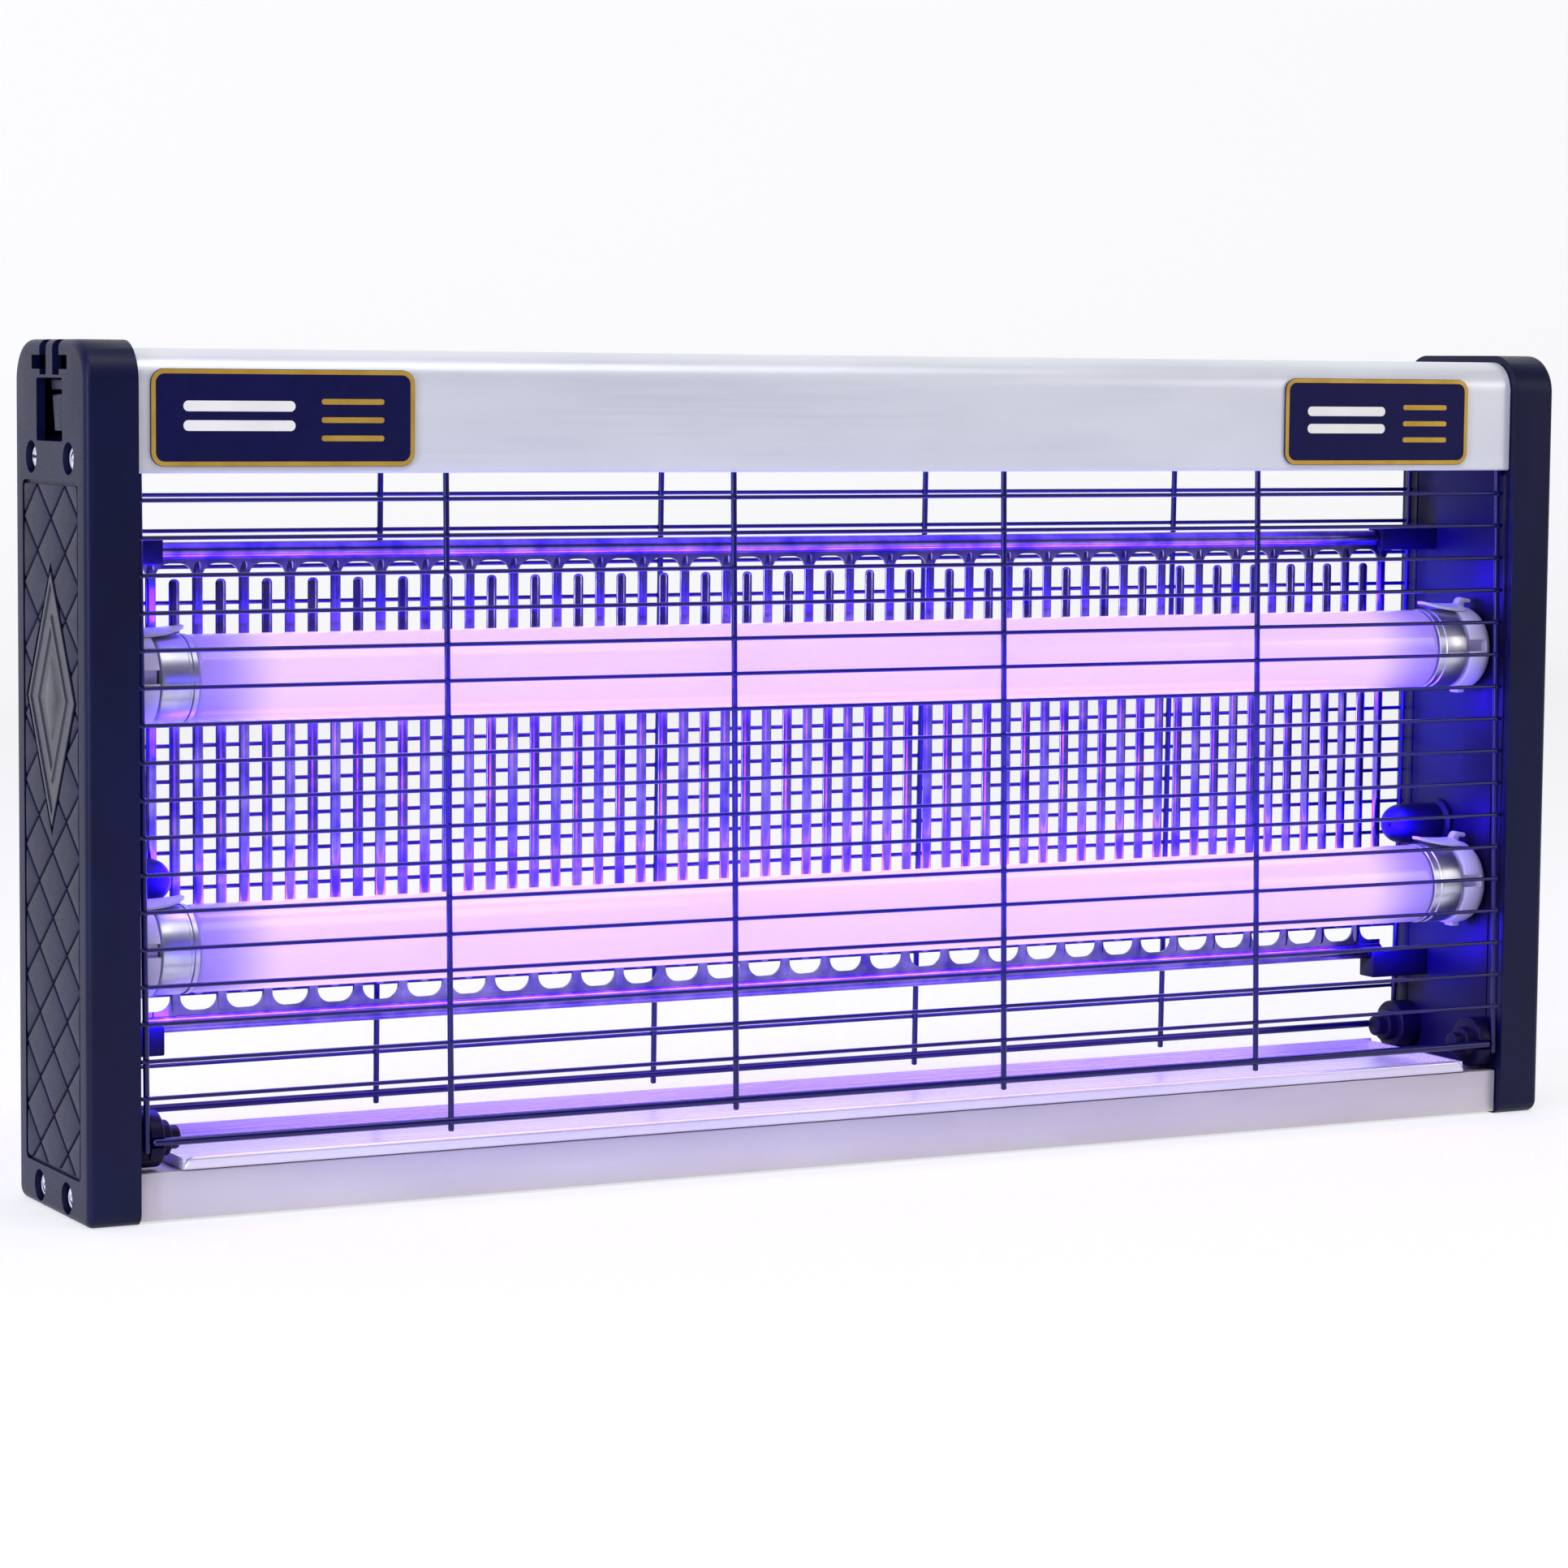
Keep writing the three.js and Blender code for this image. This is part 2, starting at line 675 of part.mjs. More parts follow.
// ---- Insect tray ------------------------------------------------------------------
/** The shallow tray: floor, rolled front lip, ends and back wall. */
function insectTray() {
  const low = basePanelTop + seatGap;
  const frontY = -halfDepth + trayLipInset;
  const backY = halfDepth - trayBackInset;
  const x = trayHalfLength;
  const floor = box([-x, frontY + trayLipThickness / 2, low], [x, backY, low + trayFloor]);
  const back = box([-x, backY - trayWall, low], [x, backY, low + trayBackHeight]);
  const endWalls = [-1, 1].map((sign) =>
    forEnd(box([x - trayWall, frontY + trayLipThickness / 2, low], [x, backY, low + trayEndHeight]), sign),
  );
  const lipShape = new THREE.Shape();
  lipShape.moveTo(-x, low);
  lipShape.lineTo(x, low);
  lipShape.lineTo(x - trayLipCorner, low + trayLipHeight);
  lipShape.lineTo(-x + trayLipCorner, low + trayLipHeight);
  const lip = alongY(lipShape, frontY, frontY + trayLipThickness);
  return join([floor, back, ...endWalls, lip]);
}

part("insect_tray", insectTray(), "traySheet");

// ---- Wire guards ------------------------------------------------------------------
/** One welded wire guard hanging from its pivot, drawn upright for the back face. */
function wireGuard() {
  const rowReach = wallX - runGap;
  const bay = (2 * guardUprightX) / guardBays;
  const wires = [];
  for (let row = 0; row < guardRows; row += 1) {
    const z = guardFirstHeight - pivotHeight - row * guardRowPitch;
    wires.push(
      box(
        [-rowReach, 0, z - guardWire / 2],
        [rowReach, guardWire, z + guardWire / 2],
      ),
    );
  }
  const hemZ = guardHemHeight - pivotHeight;
  const hemReach = wallX - guardHemEndGap;
  const half = guardHemWire / 2;
  wires.push(box([-hemReach, -half, hemZ - half], [hemReach, half, hemZ + half]));
  for (let index = 0; index <= guardBays; index += 1) {
    const x = -guardUprightX + index * bay;
    wires.push(
      box(
        [x - guardUpright / 2, -guardUpright / 2, guardFootHeight - pivotHeight],
        [x + guardUpright / 2, guardUpright / 2, guardUpright / 2],
      ),
    );
  }
  for (const { sign } of ends) {
    wires.push(forEnd(rod("x", [0, 0], guardUpright / 2, guardUprightX, wallX + pivotPinReach), sign));
  }
  return join(wires);
}

/** Leans a guard so that its hem stands further out than its pivot, and places it. */
function placedGuard(name, faceSign, hemInset) {
  const mesh = part(name, forFace(wireGuard(), faceSign), "wire");
  const lean = Math.atan2(guardTopInset - hemInset, pivotHeight - guardHemHeight);
  mesh.rotation.x = faceSign * lean;
  mesh.position.set(0, faceSign * guardY, pivotHeight);
}

placedGuard("front_guard", -1, frontGuardHemInset);
placedGuard("rear_guard", 1, rearGuardHemInset);

/** A stepped clip that the hem wire of a guard snaps into, for the right rear corner. */
function guardClip(hemInset) {
  const y = halfDepth - clipAxisInset;
  const z = guardHemHeight;
  const start = wallX - seatGap;
  const body = join([
    rod("x", [y, z], clipRadius, start - clipReach, start, roundSides),
    rod("x", [y, z], clipNeckRadius, start - clipNeckReach, start - clipReach / 2, roundSides),
    rod("x", [y, z], clipTipRadius, start - clipTipReach, start - clipReach / 2),
  ]);
  const wireY = halfDepth - hemInset - guardHemWire / 2 - runGap;
  const uprightRoom = guardUprightX - guardUpright / 2 - runGap;
  const grooveHalf = guardHemWire / 2 + runGap;
  const groove = box([0, wireY, z - grooveHalf], [halfWidth, overallDepth, z + grooveHalf]);
  const notch = box([uprightRoom, wireY, 0], [halfWidth, overallDepth, overallHeight]);
  return cut(body, [groove, notch]);
}

for (const { side, sign } of ends) {
  part(`clip_${side}_front`, forEnd(forFace(guardClip(frontGuardHemInset), -1), sign), "blackPlastic");
  part(`clip_${side}_rear`, forEnd(guardClip(rearGuardHemInset), sign), "blackPlastic");
}

// ---- High-voltage grid ------------------------------------------------------------
/** Outline of a comb in X and Z, teeth up, with the rail axis at Z = 0. */
function combOutline(teeth, toothLength) {
  const root = railOffset;
  const tip = railOffset + toothLength;
  const r = combRootRadius;
  const half = toothWidth / 2;
  const pitch = gridPitch * 2;
  const first = (-(teeth - 1) * pitch) / 2;
  const shape = new THREE.Shape();
  shape.moveTo(-railEndX, 0);
  shape.lineTo(railEndX, 0);
  shape.lineTo(railEndX, root);
  for (let index = teeth - 1; index >= 0; index -= 1) {
    const x = first + index * pitch;
    if (index < teeth - 1) {
      shape.lineTo(x + half + r, root);
      shape.absarc(x + half + r, root + r, r, -Math.PI / 2, -Math.PI, true);
    } else {
      shape.lineTo(x + half, root);
    }
    shape.lineTo(x + half, tip);
    shape.lineTo(x - half, tip);
    if (index > 0) {
      shape.lineTo(x - half, root + r);
      shape.absarc(x - half - r, root + r, r, 0, -Math.PI / 2, true);
    } else {
      shape.lineTo(x - half, root);
    }
  }
  shape.lineTo(-railEndX, root);
  return shape;
}

/** A comb with its tubular rail, teeth up, in its own frame. */
function comb(teeth, toothLength) {
  const half = combThickness / 2;
  const plate = alongY(combOutline(teeth, toothLength), -half, half);
  const rail = rod("x", [0, 0], railRadius, -railEndX, railEndX);
  return plate.add(rail);
}

const toothLength = upperRootHeight - lowerRootHeight - combTipGap;
const upperComb = part("grid_comb_upper", comb((gridTeeth + 1) / 2, toothLength), "polishedMetal");
upperComb.rotation.y = Math.PI;
upperComb.position.set(0, gridY, upperRailHeight);
const lowerComb = part("grid_comb_lower", comb((gridTeeth - 1) / 2, toothLength), "polishedMetal");
lowerComb.position.set(0, gridY, lowerRailHeight);

/** Room for the end of a comb and its rail, grown by the clearance. */
function railRoom(railZ, up) {
  const grown = railRadius + seatGap;
  const bore = rod("x", [gridY, railZ], grown, 0, railEndX + seatGap);
  const half = combThickness / 2 + seatGap;
  const plateEnd = up ? railZ + overallHeight : railZ - overallHeight;
  const slot = box(
    [0, gridY - half, Math.min(railZ, plateEnd)],
    [railEndX + seatGap, gridY + half, Math.max(railZ, plateEnd)],
  );
  return bore.add(slot);
}

/** The socket that holds an end of the upper comb, for the right-hand end. */
function upperBracket() {
  const grown = railRadius + seatGap + bracketWall;
  const block = box(
    [railEndX - bracketHold, gridY - grown, upperRailHeight - grown],
    [wallX - seatGap, gridY + grown, upperRailHeight + grown],
  );
  return block.subtract(railRoom(upperRailHeight, false));
}

/** The cradle that carries an end of the lower comb, for the right-hand end. */
function lowerBracket() {
  const grown = railRadius + seatGap + bracketWall;
  const block = box(
    [railEndX - bracketHold, gridY - grown, lowerRailHeight - railRadius - bracketDepth],
    [wallX - seatGap, gridY + grown, lowerRailHeight],
  );
  const room = box(
    [0, gridY - railRadius - seatGap, lowerRailHeight],
    [railEndX + seatGap, gridY + railRadius + seatGap, overallHeight],
  );
  return cut(block, [railRoom(lowerRailHeight, true), room]);
}

/** The domed insulator that carries the high-voltage feed, for the right-hand end. */
function feedInsulator() {
  const profile = [new THREE.Vector2(0, 0), new THREE.Vector2(insulatorRadius, 0)];
  const straight = insulatorReach - insulatorRadius;
  const steps = 5;
  for (let step = 0; step <= steps; step += 1) {
    const angle = (step / steps) * (Math.PI / 2);
    profile.push(
      new THREE.Vector2(
        step === steps ? 0 : insulatorRadius * Math.cos(angle),
        straight + insulatorRadius * Math.sin(angle),
      ),
    );
  }
  const geometry = new THREE.LatheGeometry(profile, roundSides);
  geometry.rotateZ(Math.PI / 2);
  geometry.translate(wallX - seatGap, insulatorY, insulatorHeight);
  return solid(geometry);
}

for (const { side, sign } of ends) {
  part(`grid_socket_${side}`, forEnd(upperBracket(), sign), "innerPlastic");
  part(`grid_cradle_${side}`, forEnd(lowerBracket(), sign), "innerPlastic");
  part(`feed_insulator_${side}`, forEnd(feedInsulator(), sign), "innerPlastic");
}

// ---- Lamps ------------------------------------------------------------------------
/** A lamp cap with its two contact pins, for the right-hand end. */
function lampCap(z) {
  const start = glassEndX + seatGap;
  const body = rod("x", [lampY, z], capRadius, start, capEndX, roundSides);
  const pins = [-1, 1].map((sign) =>
    rod("x", [lampY, z + (sign * pinSpacing) / 2], pinRadius, capEndX - pinLength / 2, capEndX + pinLength),
  );
  return join([body, ...pins]);
}

/** A rotary lampholder body with a recess for its rotor, for the right-hand end. */
function lampholder(z) {
  const face = capEndX + runGap;
  const back = wallX - seatGap;
  const disc = rod("x", [lampY, z], holderRadius, face, back, roundSides);
  const foot = box(
    [face, lampY - holderFootHalf, z],
    [back, lampY + holderFootHalf, z + holderFootHeight],
  );
  const recessEnd = face + rotorThickness + runGap;
  const recess = rod("x", [lampY, z], rotorRadius + runGap, 0, recessEnd, roundSides);
  return join([disc, foot]).subtract(recess);
}

/** The slotted rotor that grips the lamp pins, for the right-hand end. */
function lampRotor(z) {
  const face = capEndX + runGap;
  const disc = rod("x", [lampY, z], rotorRadius, face, face + rotorThickness, roundSides);
  const slotHalf = pinRadius + seatGap;
  const slotReach = pinSpacing / 2 + pinRadius + seatGap;
  const slot = box(
    [0, lampY - slotHalf, z - slotReach],
    [face + rotorSlotDepth, lampY + slotHalf, z + slotReach],
  );
  return disc.subtract(slot);
}

const lamps = [
  { level: "upper", z: upperLampHeight },
  { level: "lower", z: lowerLampHeight },
];
for (const { level, z } of lamps) {
  const glass = rod("x", [lampY, z], lampRadius, -glassEndX, glassEndX, roundSides);
  part(`lamp_glass_${level}`, glass, "lampGlass");
  for (const { side, sign } of ends) {
    part(`lamp_cap_${level}_${side}`, forEnd(lampCap(z), sign), "capMetal");
    part(`lampholder_${level}_${side}`, forEnd(lampholder(z), sign), "whitePlastic");
    part(`lamp_rotor_${level}_${side}`, forEnd(lampRotor(z), sign), "whitePlastic");
  }
}

// ---- Electrical parts -------------------------------------------------------------
/** The steel core of the high-voltage transformer. */
function transformerCore() {
  const low = equipmentFloor;
  const block = box(
    [-coreLength / 2, -coreDepth / 2, low],
    [coreLength / 2, coreDepth / 2, low + coreHeight],
  );
  const windows = [-1, 1].map((sign) =>
    forEnd(
      box(
        [coreLimb / 2, -coreDepth, low + coreYoke],
        [coreLength / 2 - coreYoke, coreDepth, low + coreHeight - coreYoke],
      ),
      sign,
    ),
  );
  return cut(block, windows);
}

/** The coil wound round the middle limb of the core. */
function transformerCoil() {
  const low = equipmentFloor + coreYoke + seatGap;
  const high = equipmentFloor + coreHeight - coreYoke - seatGap;
  const outerX = coreLength / 2 - coreYoke - seatGap;
  const ring = box([-outerX, -coilDepth / 2, low], [outerX, coilDepth / 2, high]);
  const limb = box(
    [-coreLimb / 2 - seatGap, -coreDepth / 2 - seatGap, 0],
    [coreLimb / 2 + seatGap, coreDepth / 2 + seatGap, overallHeight * 2],
  );
  return ring.subtract(limb);
}

/** An electronic ballast in a folded case with a foot at each end. */
function ballast(centreX) {
  const low = portTop + seatGap;
  const half = ballastLength / 2;
  const y = ballastDepth / 2;
  const housing = box([centreX - half, -y, low], [centreX + half, y, low + ballastHeight]);
  const foot = box(
    [centreX - half - ballastFoot, -y, low],
    [centreX + half + ballastFoot, y, low + ballastFootThickness],
  );
  return join([housing, foot]);
}

/** The circuit board of the grid supply, raised on the screw ports. */
function circuitBoard() {
  const low = portTop + seatGap;
  return box(
    [boardOffset - boardLength / 2, -boardDepth / 2, low],
    [boardOffset + boardLength / 2, boardDepth / 2, low + boardThickness],
  );
}

/** The grid capacitor lying on the board. */
function gridCapacitor() {
  const z = portTop + seatGap + boardThickness + seatGap + capacitorRadius;
  return rod("y", [boardOffset, z], capacitorRadius, -capacitorLength / 2, capacitorLength / 2, roundSides);
}

/** The mains terminal block between the screw ports, with three wire ways. */
function terminalBlock() {
  const x = glandX - terminalGap;
  const low = equipmentFloor;
  const block = box(
    [x - terminalLength / 2, -terminalDepth / 2, low],
    [x + terminalLength / 2, terminalDepth / 2, low + terminalHeight],
  );
  const wayZ = low + terminalHeight / 2;
  const ways = [-1, 0, 1].map((step) =>
    rod("y", [x + step * terminalPitch, wayZ], terminalWayRadius, -terminalDepth, terminalDepth),
  );
  return cut(block, ways);
}

/** The cable gland in the back of the top panel. */
function cableGland() {
  const skinOut = panelHalfDepth;
  const skinIn = panelHalfDepth - topPanelWall;
  const bodyEnd = skinOut + seatGap + glandFlange / 2;
  const body = rod("y", [glandX, glandZ], glandRadius, skinIn - glandThread, bodyEnd, roundSides);
  const flange = rod(
    "y",
    [glandX, glandZ],
    glandFlangeRadius,
    skinOut + seatGap,
    skinOut + seatGap + glandFlange,
    roundSides,
  );
  const nutEnd = skinIn - seatGap;
  const nut = rod("y", [glandX, glandZ], glandFlangeRadius, nutEnd - glandNut, nutEnd, nutSides);
  const bore = rod("y", [glandX, glandZ], glandBore, 0, overallDepth, roundSides);
  return join([body, flange, nut]).subtract(bore);
}

part("transformer_core", transformerCore(), "coreSteel");
part("transformer_coil", transformerCoil(), "copper");
part("ballast", ballast(-ballastOffset), "ballastCase");
part("circuit_board", circuitBoard(), "boardLaminate");
part("grid_capacitor", gridCapacitor(), "capacitorSleeve");
part("terminal_block", terminalBlock(), "whitePlastic");
part("cable_gland", cableGland(), "innerPlastic");

export default group;
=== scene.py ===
"""Electric insect zapper with two glowing tube lamps: the detailed visual model.

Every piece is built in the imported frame's own coordinates, in metres, around the CAD
nodes that it stands for. Sizes in the classes below are millimetres.
"""
import json
import logging
import math
from dataclasses import dataclass
from enum import Enum
from typing import Callable, Iterable, Sequence

import bmesh
import bpy
from mathutils import Euler, Matrix, Vector


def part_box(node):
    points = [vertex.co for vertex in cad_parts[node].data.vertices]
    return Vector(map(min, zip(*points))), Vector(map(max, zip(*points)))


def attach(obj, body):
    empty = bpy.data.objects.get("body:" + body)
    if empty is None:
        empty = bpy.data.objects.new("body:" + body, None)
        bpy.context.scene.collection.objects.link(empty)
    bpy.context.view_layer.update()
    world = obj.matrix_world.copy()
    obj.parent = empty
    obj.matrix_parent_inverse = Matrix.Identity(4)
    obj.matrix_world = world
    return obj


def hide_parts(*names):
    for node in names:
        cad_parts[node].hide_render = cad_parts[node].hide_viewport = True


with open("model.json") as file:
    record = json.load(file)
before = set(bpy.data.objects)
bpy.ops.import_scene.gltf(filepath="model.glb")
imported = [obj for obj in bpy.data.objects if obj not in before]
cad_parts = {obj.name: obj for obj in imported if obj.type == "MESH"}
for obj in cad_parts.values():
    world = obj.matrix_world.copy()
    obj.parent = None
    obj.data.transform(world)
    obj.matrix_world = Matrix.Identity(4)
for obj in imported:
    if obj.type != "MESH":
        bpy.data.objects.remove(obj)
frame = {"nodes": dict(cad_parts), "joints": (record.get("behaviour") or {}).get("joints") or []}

LOG = logging.getLogger("zapper")
MM = 0.001
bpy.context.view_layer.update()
JOINTS = {joint["name"]: joint for joint in frame["joints"]}
Point = tuple[float, float]
Outline = Callable[[float], list[Point]]


class Axis(Enum):
    """The direction that a prism or a turned piece runs along."""

    X = "x"
    Y = "y"
    Z = "z"

    def place(self, along: float, first: float, second: float) -> Vector:
        """Return a point from its distance along the axis and its two cross coordinates."""
        if self is Axis.X:
            return Vector((along, first, second))
        if self is Axis.Y:
            return Vector((first, along, second))
        return Vector((first, second, along))


# ---- Shader helpers ---------------------------------------------------------------
def linear(code: str) -> tuple[float, float, float, float]:
    """Turn an sRGB hex colour into a linear colour.

    Args:
        code: six hex digits after a hash mark.

    Returns:
        The linear red, green, blue and an alpha of 1.
    """
    channels = [int(code[i : i + 2], 16) / 255 for i in (1, 3, 5)]
    values = [c / 12.92 if c <= 0.04045 else ((c + 0.055) / 1.055) ** 2.4 for c in channels]
    return (values[0], values[1], values[2], 1.0)


def add_node(
    tree: bpy.types.NodeTree,
    kind: str,
    settings: dict[str, object] | None = None,
    values: dict[str | int, object] | None = None,
    links: dict[str | int, bpy.types.NodeSocket] | None = None,
) -> bpy.types.Node:
    """Add one node to a tree.

    Args:
        tree: the node tree that takes the node.
        kind: the node's type name.
        settings: attributes of the node itself.
        values: values of its input sockets, by name or number.
        links: sockets that feed its inputs, by name or number.

    Returns:
        The new node.
    """
    node = tree.nodes.new(kind)
    for name, value in (settings or {}).items():
        setattr(node, name, value)
    for name, value in (values or {}).items():
        node.inputs[name].default_value = value
    for name, source in (links or {}).items():
        tree.links.new(source, node.inputs[name])
    return node


@dataclass(frozen=True)
class Finish:
    """A surface: what it is made of and how it was made."""

    name: str
    colour: str
    roughness: float = 0.4
    metallic: float = 0.0
    ior: float = 1.5
    specular: float = 0.5

    def material(self) -> bpy.types.Material:
        """Return the finish's material, built the first time that it is asked for."""
        known = bpy.data.materials.get(self.name)
        if known is not None:
            return known
        material = bpy.data.materials.new(self.name)
        material.use_nodes = True
        tree = material.node_tree
        tree.nodes.clear()
        shader = add_node(
            tree,
            "ShaderNodeBsdfPrincipled",
            values={
                "Base Color": linear(self.colour),
                "Roughness": self.roughness,
                "Metallic": self.metallic,
                "IOR": self.ior,
                "Specular IOR Level": self.specular,
            },
        )
        add_node(tree, "ShaderNodeOutputMaterial", links={"Surface": shader.outputs[0]})
        self.pattern(tree, shader)
        return material

    def pattern(self, tree: bpy.types.NodeTree, shader: bpy.types.Node) -> None:
        """Add the finish's own detail. A plain finish has none."""

    def noise(
        self,
        tree: bpy.types.NodeTree,
        size_mm: Sequence[float],
        detail: float = 2.0,
    ) -> bpy.types.NodeSocket:
        """Add object-space noise.

        Args:
            tree: the material's tree.
            size_mm: size of one feature along X, Y and Z.
            detail: number of finer layers.

        Returns:
            The noise's value socket, around 0.5.
        """
        place = add_node(tree, "ShaderNodeTexCoord")
        scale = tuple(1 / (size * MM) for size in size_mm)
        mapping = add_node(
            tree,
            "ShaderNodeMapping",
            values={"Scale": scale},
            links={"Vector": place.outputs["Object"]},
        )
        texture = add_node(
            tree,
            "ShaderNodeTexNoise",
            values={"Scale": 1.0, "Detail": detail, "Roughness": 0.55},
            links={"Vector": mapping.outputs[0]},
        )
        return texture.outputs[0]

    def spread(
        self,
        tree: bpy.types.NodeTree,
        source: bpy.types.NodeSocket,
        low: float,
        high: float,
    ) -> bpy.types.NodeSocket:
        """Map a noise value, mostly 0.3 to 0.7, to a range and return the result's socket."""
        node = add_node(
            tree,
            "ShaderNodeMapRange",
            values={1: 0.3, 2: 0.7, 3: low, 4: high},
            links={0: source},
        )
        return node.outputs[0]

    def tint(
        self,
        tree: bpy.types.NodeTree,
        shader: bpy.types.Node,
        source: bpy.types.NodeSocket,
        other: str,
    ) -> None:
        """Vary the base colour between the finish's own and another one."""
        factor = self.spread(tree, source, 0.0, 1.0)
        mix = add_node(
            tree,
            "ShaderNodeMix",
            settings={"data_type": "RGBA"},
            values={6: linear(self.colour), 7: linear(other)},
            links={0: factor},
        )
        tree.links.new(mix.outputs[2], shader.inputs["Base Color"])

    def bump(
        self,
        tree: bpy.types.NodeTree,
        shader: bpy.types.Node,
        height: bpy.types.NodeSocket,
        depth_mm: float,
        strength: float = 1.0,
    ) -> None:
        """Raise the surface by a height pattern."""
        node = add_node(
            tree,
            "ShaderNodeBump",
            values={"Strength": strength, "Distance": depth_mm * MM},
            links={"Height": height},
        )
        tree.links.new(node.outputs[0], shader.inputs["Normal"])


@dataclass(frozen=True)
class MouldedPlastic(Finish):
    """Injection-moulded plastic: a fine spark-eroded grain and slight flow marks."""

    grain_mm: float = 0.55
    grain_depth_mm: float = 0.03
    mottle: str = "#262a36"

    def pattern(self, tree: bpy.types.NodeTree, shader: bpy.types.Node) -> None:
        """Grain in the gloss and relief, and slow changes of tone."""
        grain = self.noise(tree, (self.grain_mm,) * 3, 3.0)
        cloud = self.noise(tree, (18.0, 18.0, 30.0))
        self.tint(tree, shader, cloud, self.mottle)
        rough = self.spread(tree, grain, self.roughness - 0.07, self.roughness + 0.09)
        tree.links.new(rough, shader.inputs["Roughness"])
        self.bump(tree, shader, grain, self.grain_depth_mm, 0.6)


@dataclass(frozen=True)
class RolledSheet(Finish):
    """Rolled aluminium sheet or extrusion: faint streaks along its length."""

    streak_mm: Sequence[float] = (60.0, 0.5, 0.5)
    streak_depth_mm: float = 0.006
    other: str = "#d2d4da"

    def pattern(self, tree: bpy.types.NodeTree, shader: bpy.types.Node) -> None:
        """Streaks in the gloss and relief, and a faint cloudiness."""
        streak = self.noise(tree, self.streak_mm, 3.0)
        cloud = self.noise(tree, (70.0, 25.0, 25.0))
        self.tint(tree, shader, cloud, self.other)
        rough = self.spread(tree, streak, self.roughness - 0.06, self.roughness + 0.08)
        tree.links.new(rough, shader.inputs["Roughness"])
        self.bump(tree, shader, streak, self.streak_depth_mm, 0.5)


@dataclass(frozen=True)
class PolishedMetal(Finish):
    """Plated or polished metal: a bright mirror with the odd dull patch."""

    dull: str = "#9c9cb4"
    wave_mm: float = 9.0

    def pattern(self, tree: bpy.types.NodeTree, shader: bpy.types.Node) -> None:
        """Slow dulling and a slight waviness of the reflection."""
        cloud = self.noise(tree, (self.wave_mm,) * 3)
        self.tint(tree, shader, cloud, self.dull)
        rough = self.spread(tree, cloud, self.roughness, self.roughness + 0.08)
        tree.links.new(rough, shader.inputs["Roughness"])
        self.bump(tree, shader, cloud, 0.04, 0.25)


@dataclass(frozen=True)
class CoatedWire(Finish):
    """Powder-coated steel wire: dark, glossy, with a slight orange peel."""

    peel_mm: float = 1.4

    def pattern(self, tree: bpy.types.NodeTree, shader: bpy.types.Node) -> None:
        """Orange peel in the relief, and a clear gloss on top."""
        shader.inputs["Coat Weight"].default_value = 0.25
        shader.inputs["Coat Roughness"].default_value = 0.12
        peel = self.noise(tree, (self.peel_mm,) * 3)
        self.bump(tree, shader, peel, 0.03, 0.4)


@dataclass(frozen=True)
class GlowingGlass(Finish):
    """Phosphor-coated lamp glass, lit: lilac, and dimmer where the electrodes are."""

    half_length_mm: float = 214.0
    fade_mm: float = 26.0
    glow: str = "#ecc8ff"
    end_glow: str = "#a68cf8"
    strength: float = 0.84

    def pattern(self, tree: bpy.types.NodeTree, shader: bpy.types.Node) -> None:
        """Emission that fades and turns violet towards both ends."""
        place = add_node(tree, "ShaderNodeTexCoord")
        split = add_node(
            tree, "ShaderNodeSeparateXYZ", links={0: place.outputs["Object"]}
        )
        reach = add_node(
            tree, "ShaderNodeMath", settings={"operation": "ABSOLUTE"}, links={0: split.outputs[0]}
        )
        start = (self.half_length_mm - self.fade_mm) * MM
        fade = add_node(
            tree,
            "ShaderNodeMapRange",
            settings={"interpolation_type": "SMOOTHSTEP"},
            values={1: start, 2: self.half_length_mm * MM, 3: 0.0, 4: 1.0},
            links={0: reach.outputs[0]},
        )
        mix = add_node(
            tree,
            "ShaderNodeMix",
            settings={"data_type": "RGBA"},
            values={6: linear(self.glow), 7: linear(self.end_glow)},
            links={0: fade.outputs[0]},
        )
        power = add_node(
            tree,
            "ShaderNodeMapRange",
            values={1: 0.0, 2: 1.0, 3: self.strength, 4: self.strength * 0.45},
            links={0: fade.outputs[0]},
        )
        tree.links.new(mix.outputs[2], shader.inputs["Emission Color"])
        tree.links.new(power.outputs[0], shader.inputs["Emission Strength"])


@dataclass(frozen=True)
class LitFloor(Finish):
    """A white floor lit from below round the object, and unlit far in front of it."""

    dark_from: float = -1.0
    lit_from: float = -0.6
    dim: float = 0.22
    strength: float = 0.64
    wall_from: float = 1.6
    wall_to: float = 3.0
    wall_extra: float = 0.16

    def pattern(self, tree: bpy.types.NodeTree, shader: bpy.types.Node) -> None:
        """Emission that rises from the dark part in front to the lit part and the wall."""
        place = add_node(tree, "ShaderNodeTexCoord")
        split = add_node(tree, "ShaderNodeSeparateXYZ", links={0: place.outputs["Object"]})
        power = add_node(
            tree,
            "ShaderNodeMapRange",
            settings={"interpolation_type": "SMOOTHSTEP"},
            values={1: self.dark_from, 2: self.lit_from, 3: self.dim, 4: self.strength},
            links={0: split.outputs[1]},
        )
        extra = add_node(
            tree,
            "ShaderNodeMapRange",
            settings={"interpolation_type": "SMOOTHSTEP"},
            values={1: self.wall_from, 2: self.wall_to, 3: 0.0, 4: self.wall_extra},
            links={0: split.outputs[1]},
        )
        total = add_node(
            tree,
            "ShaderNodeMath",
            settings={"operation": "ADD"},
            links={0: power.outputs[0], 1: extra.outputs[0]},
        )
        shader.inputs["Emission Color"].default_value = (1.0, 1.0, 1.0, 1.0)
        tree.links.new(total.outputs[0], shader.inputs["Emission Strength"])


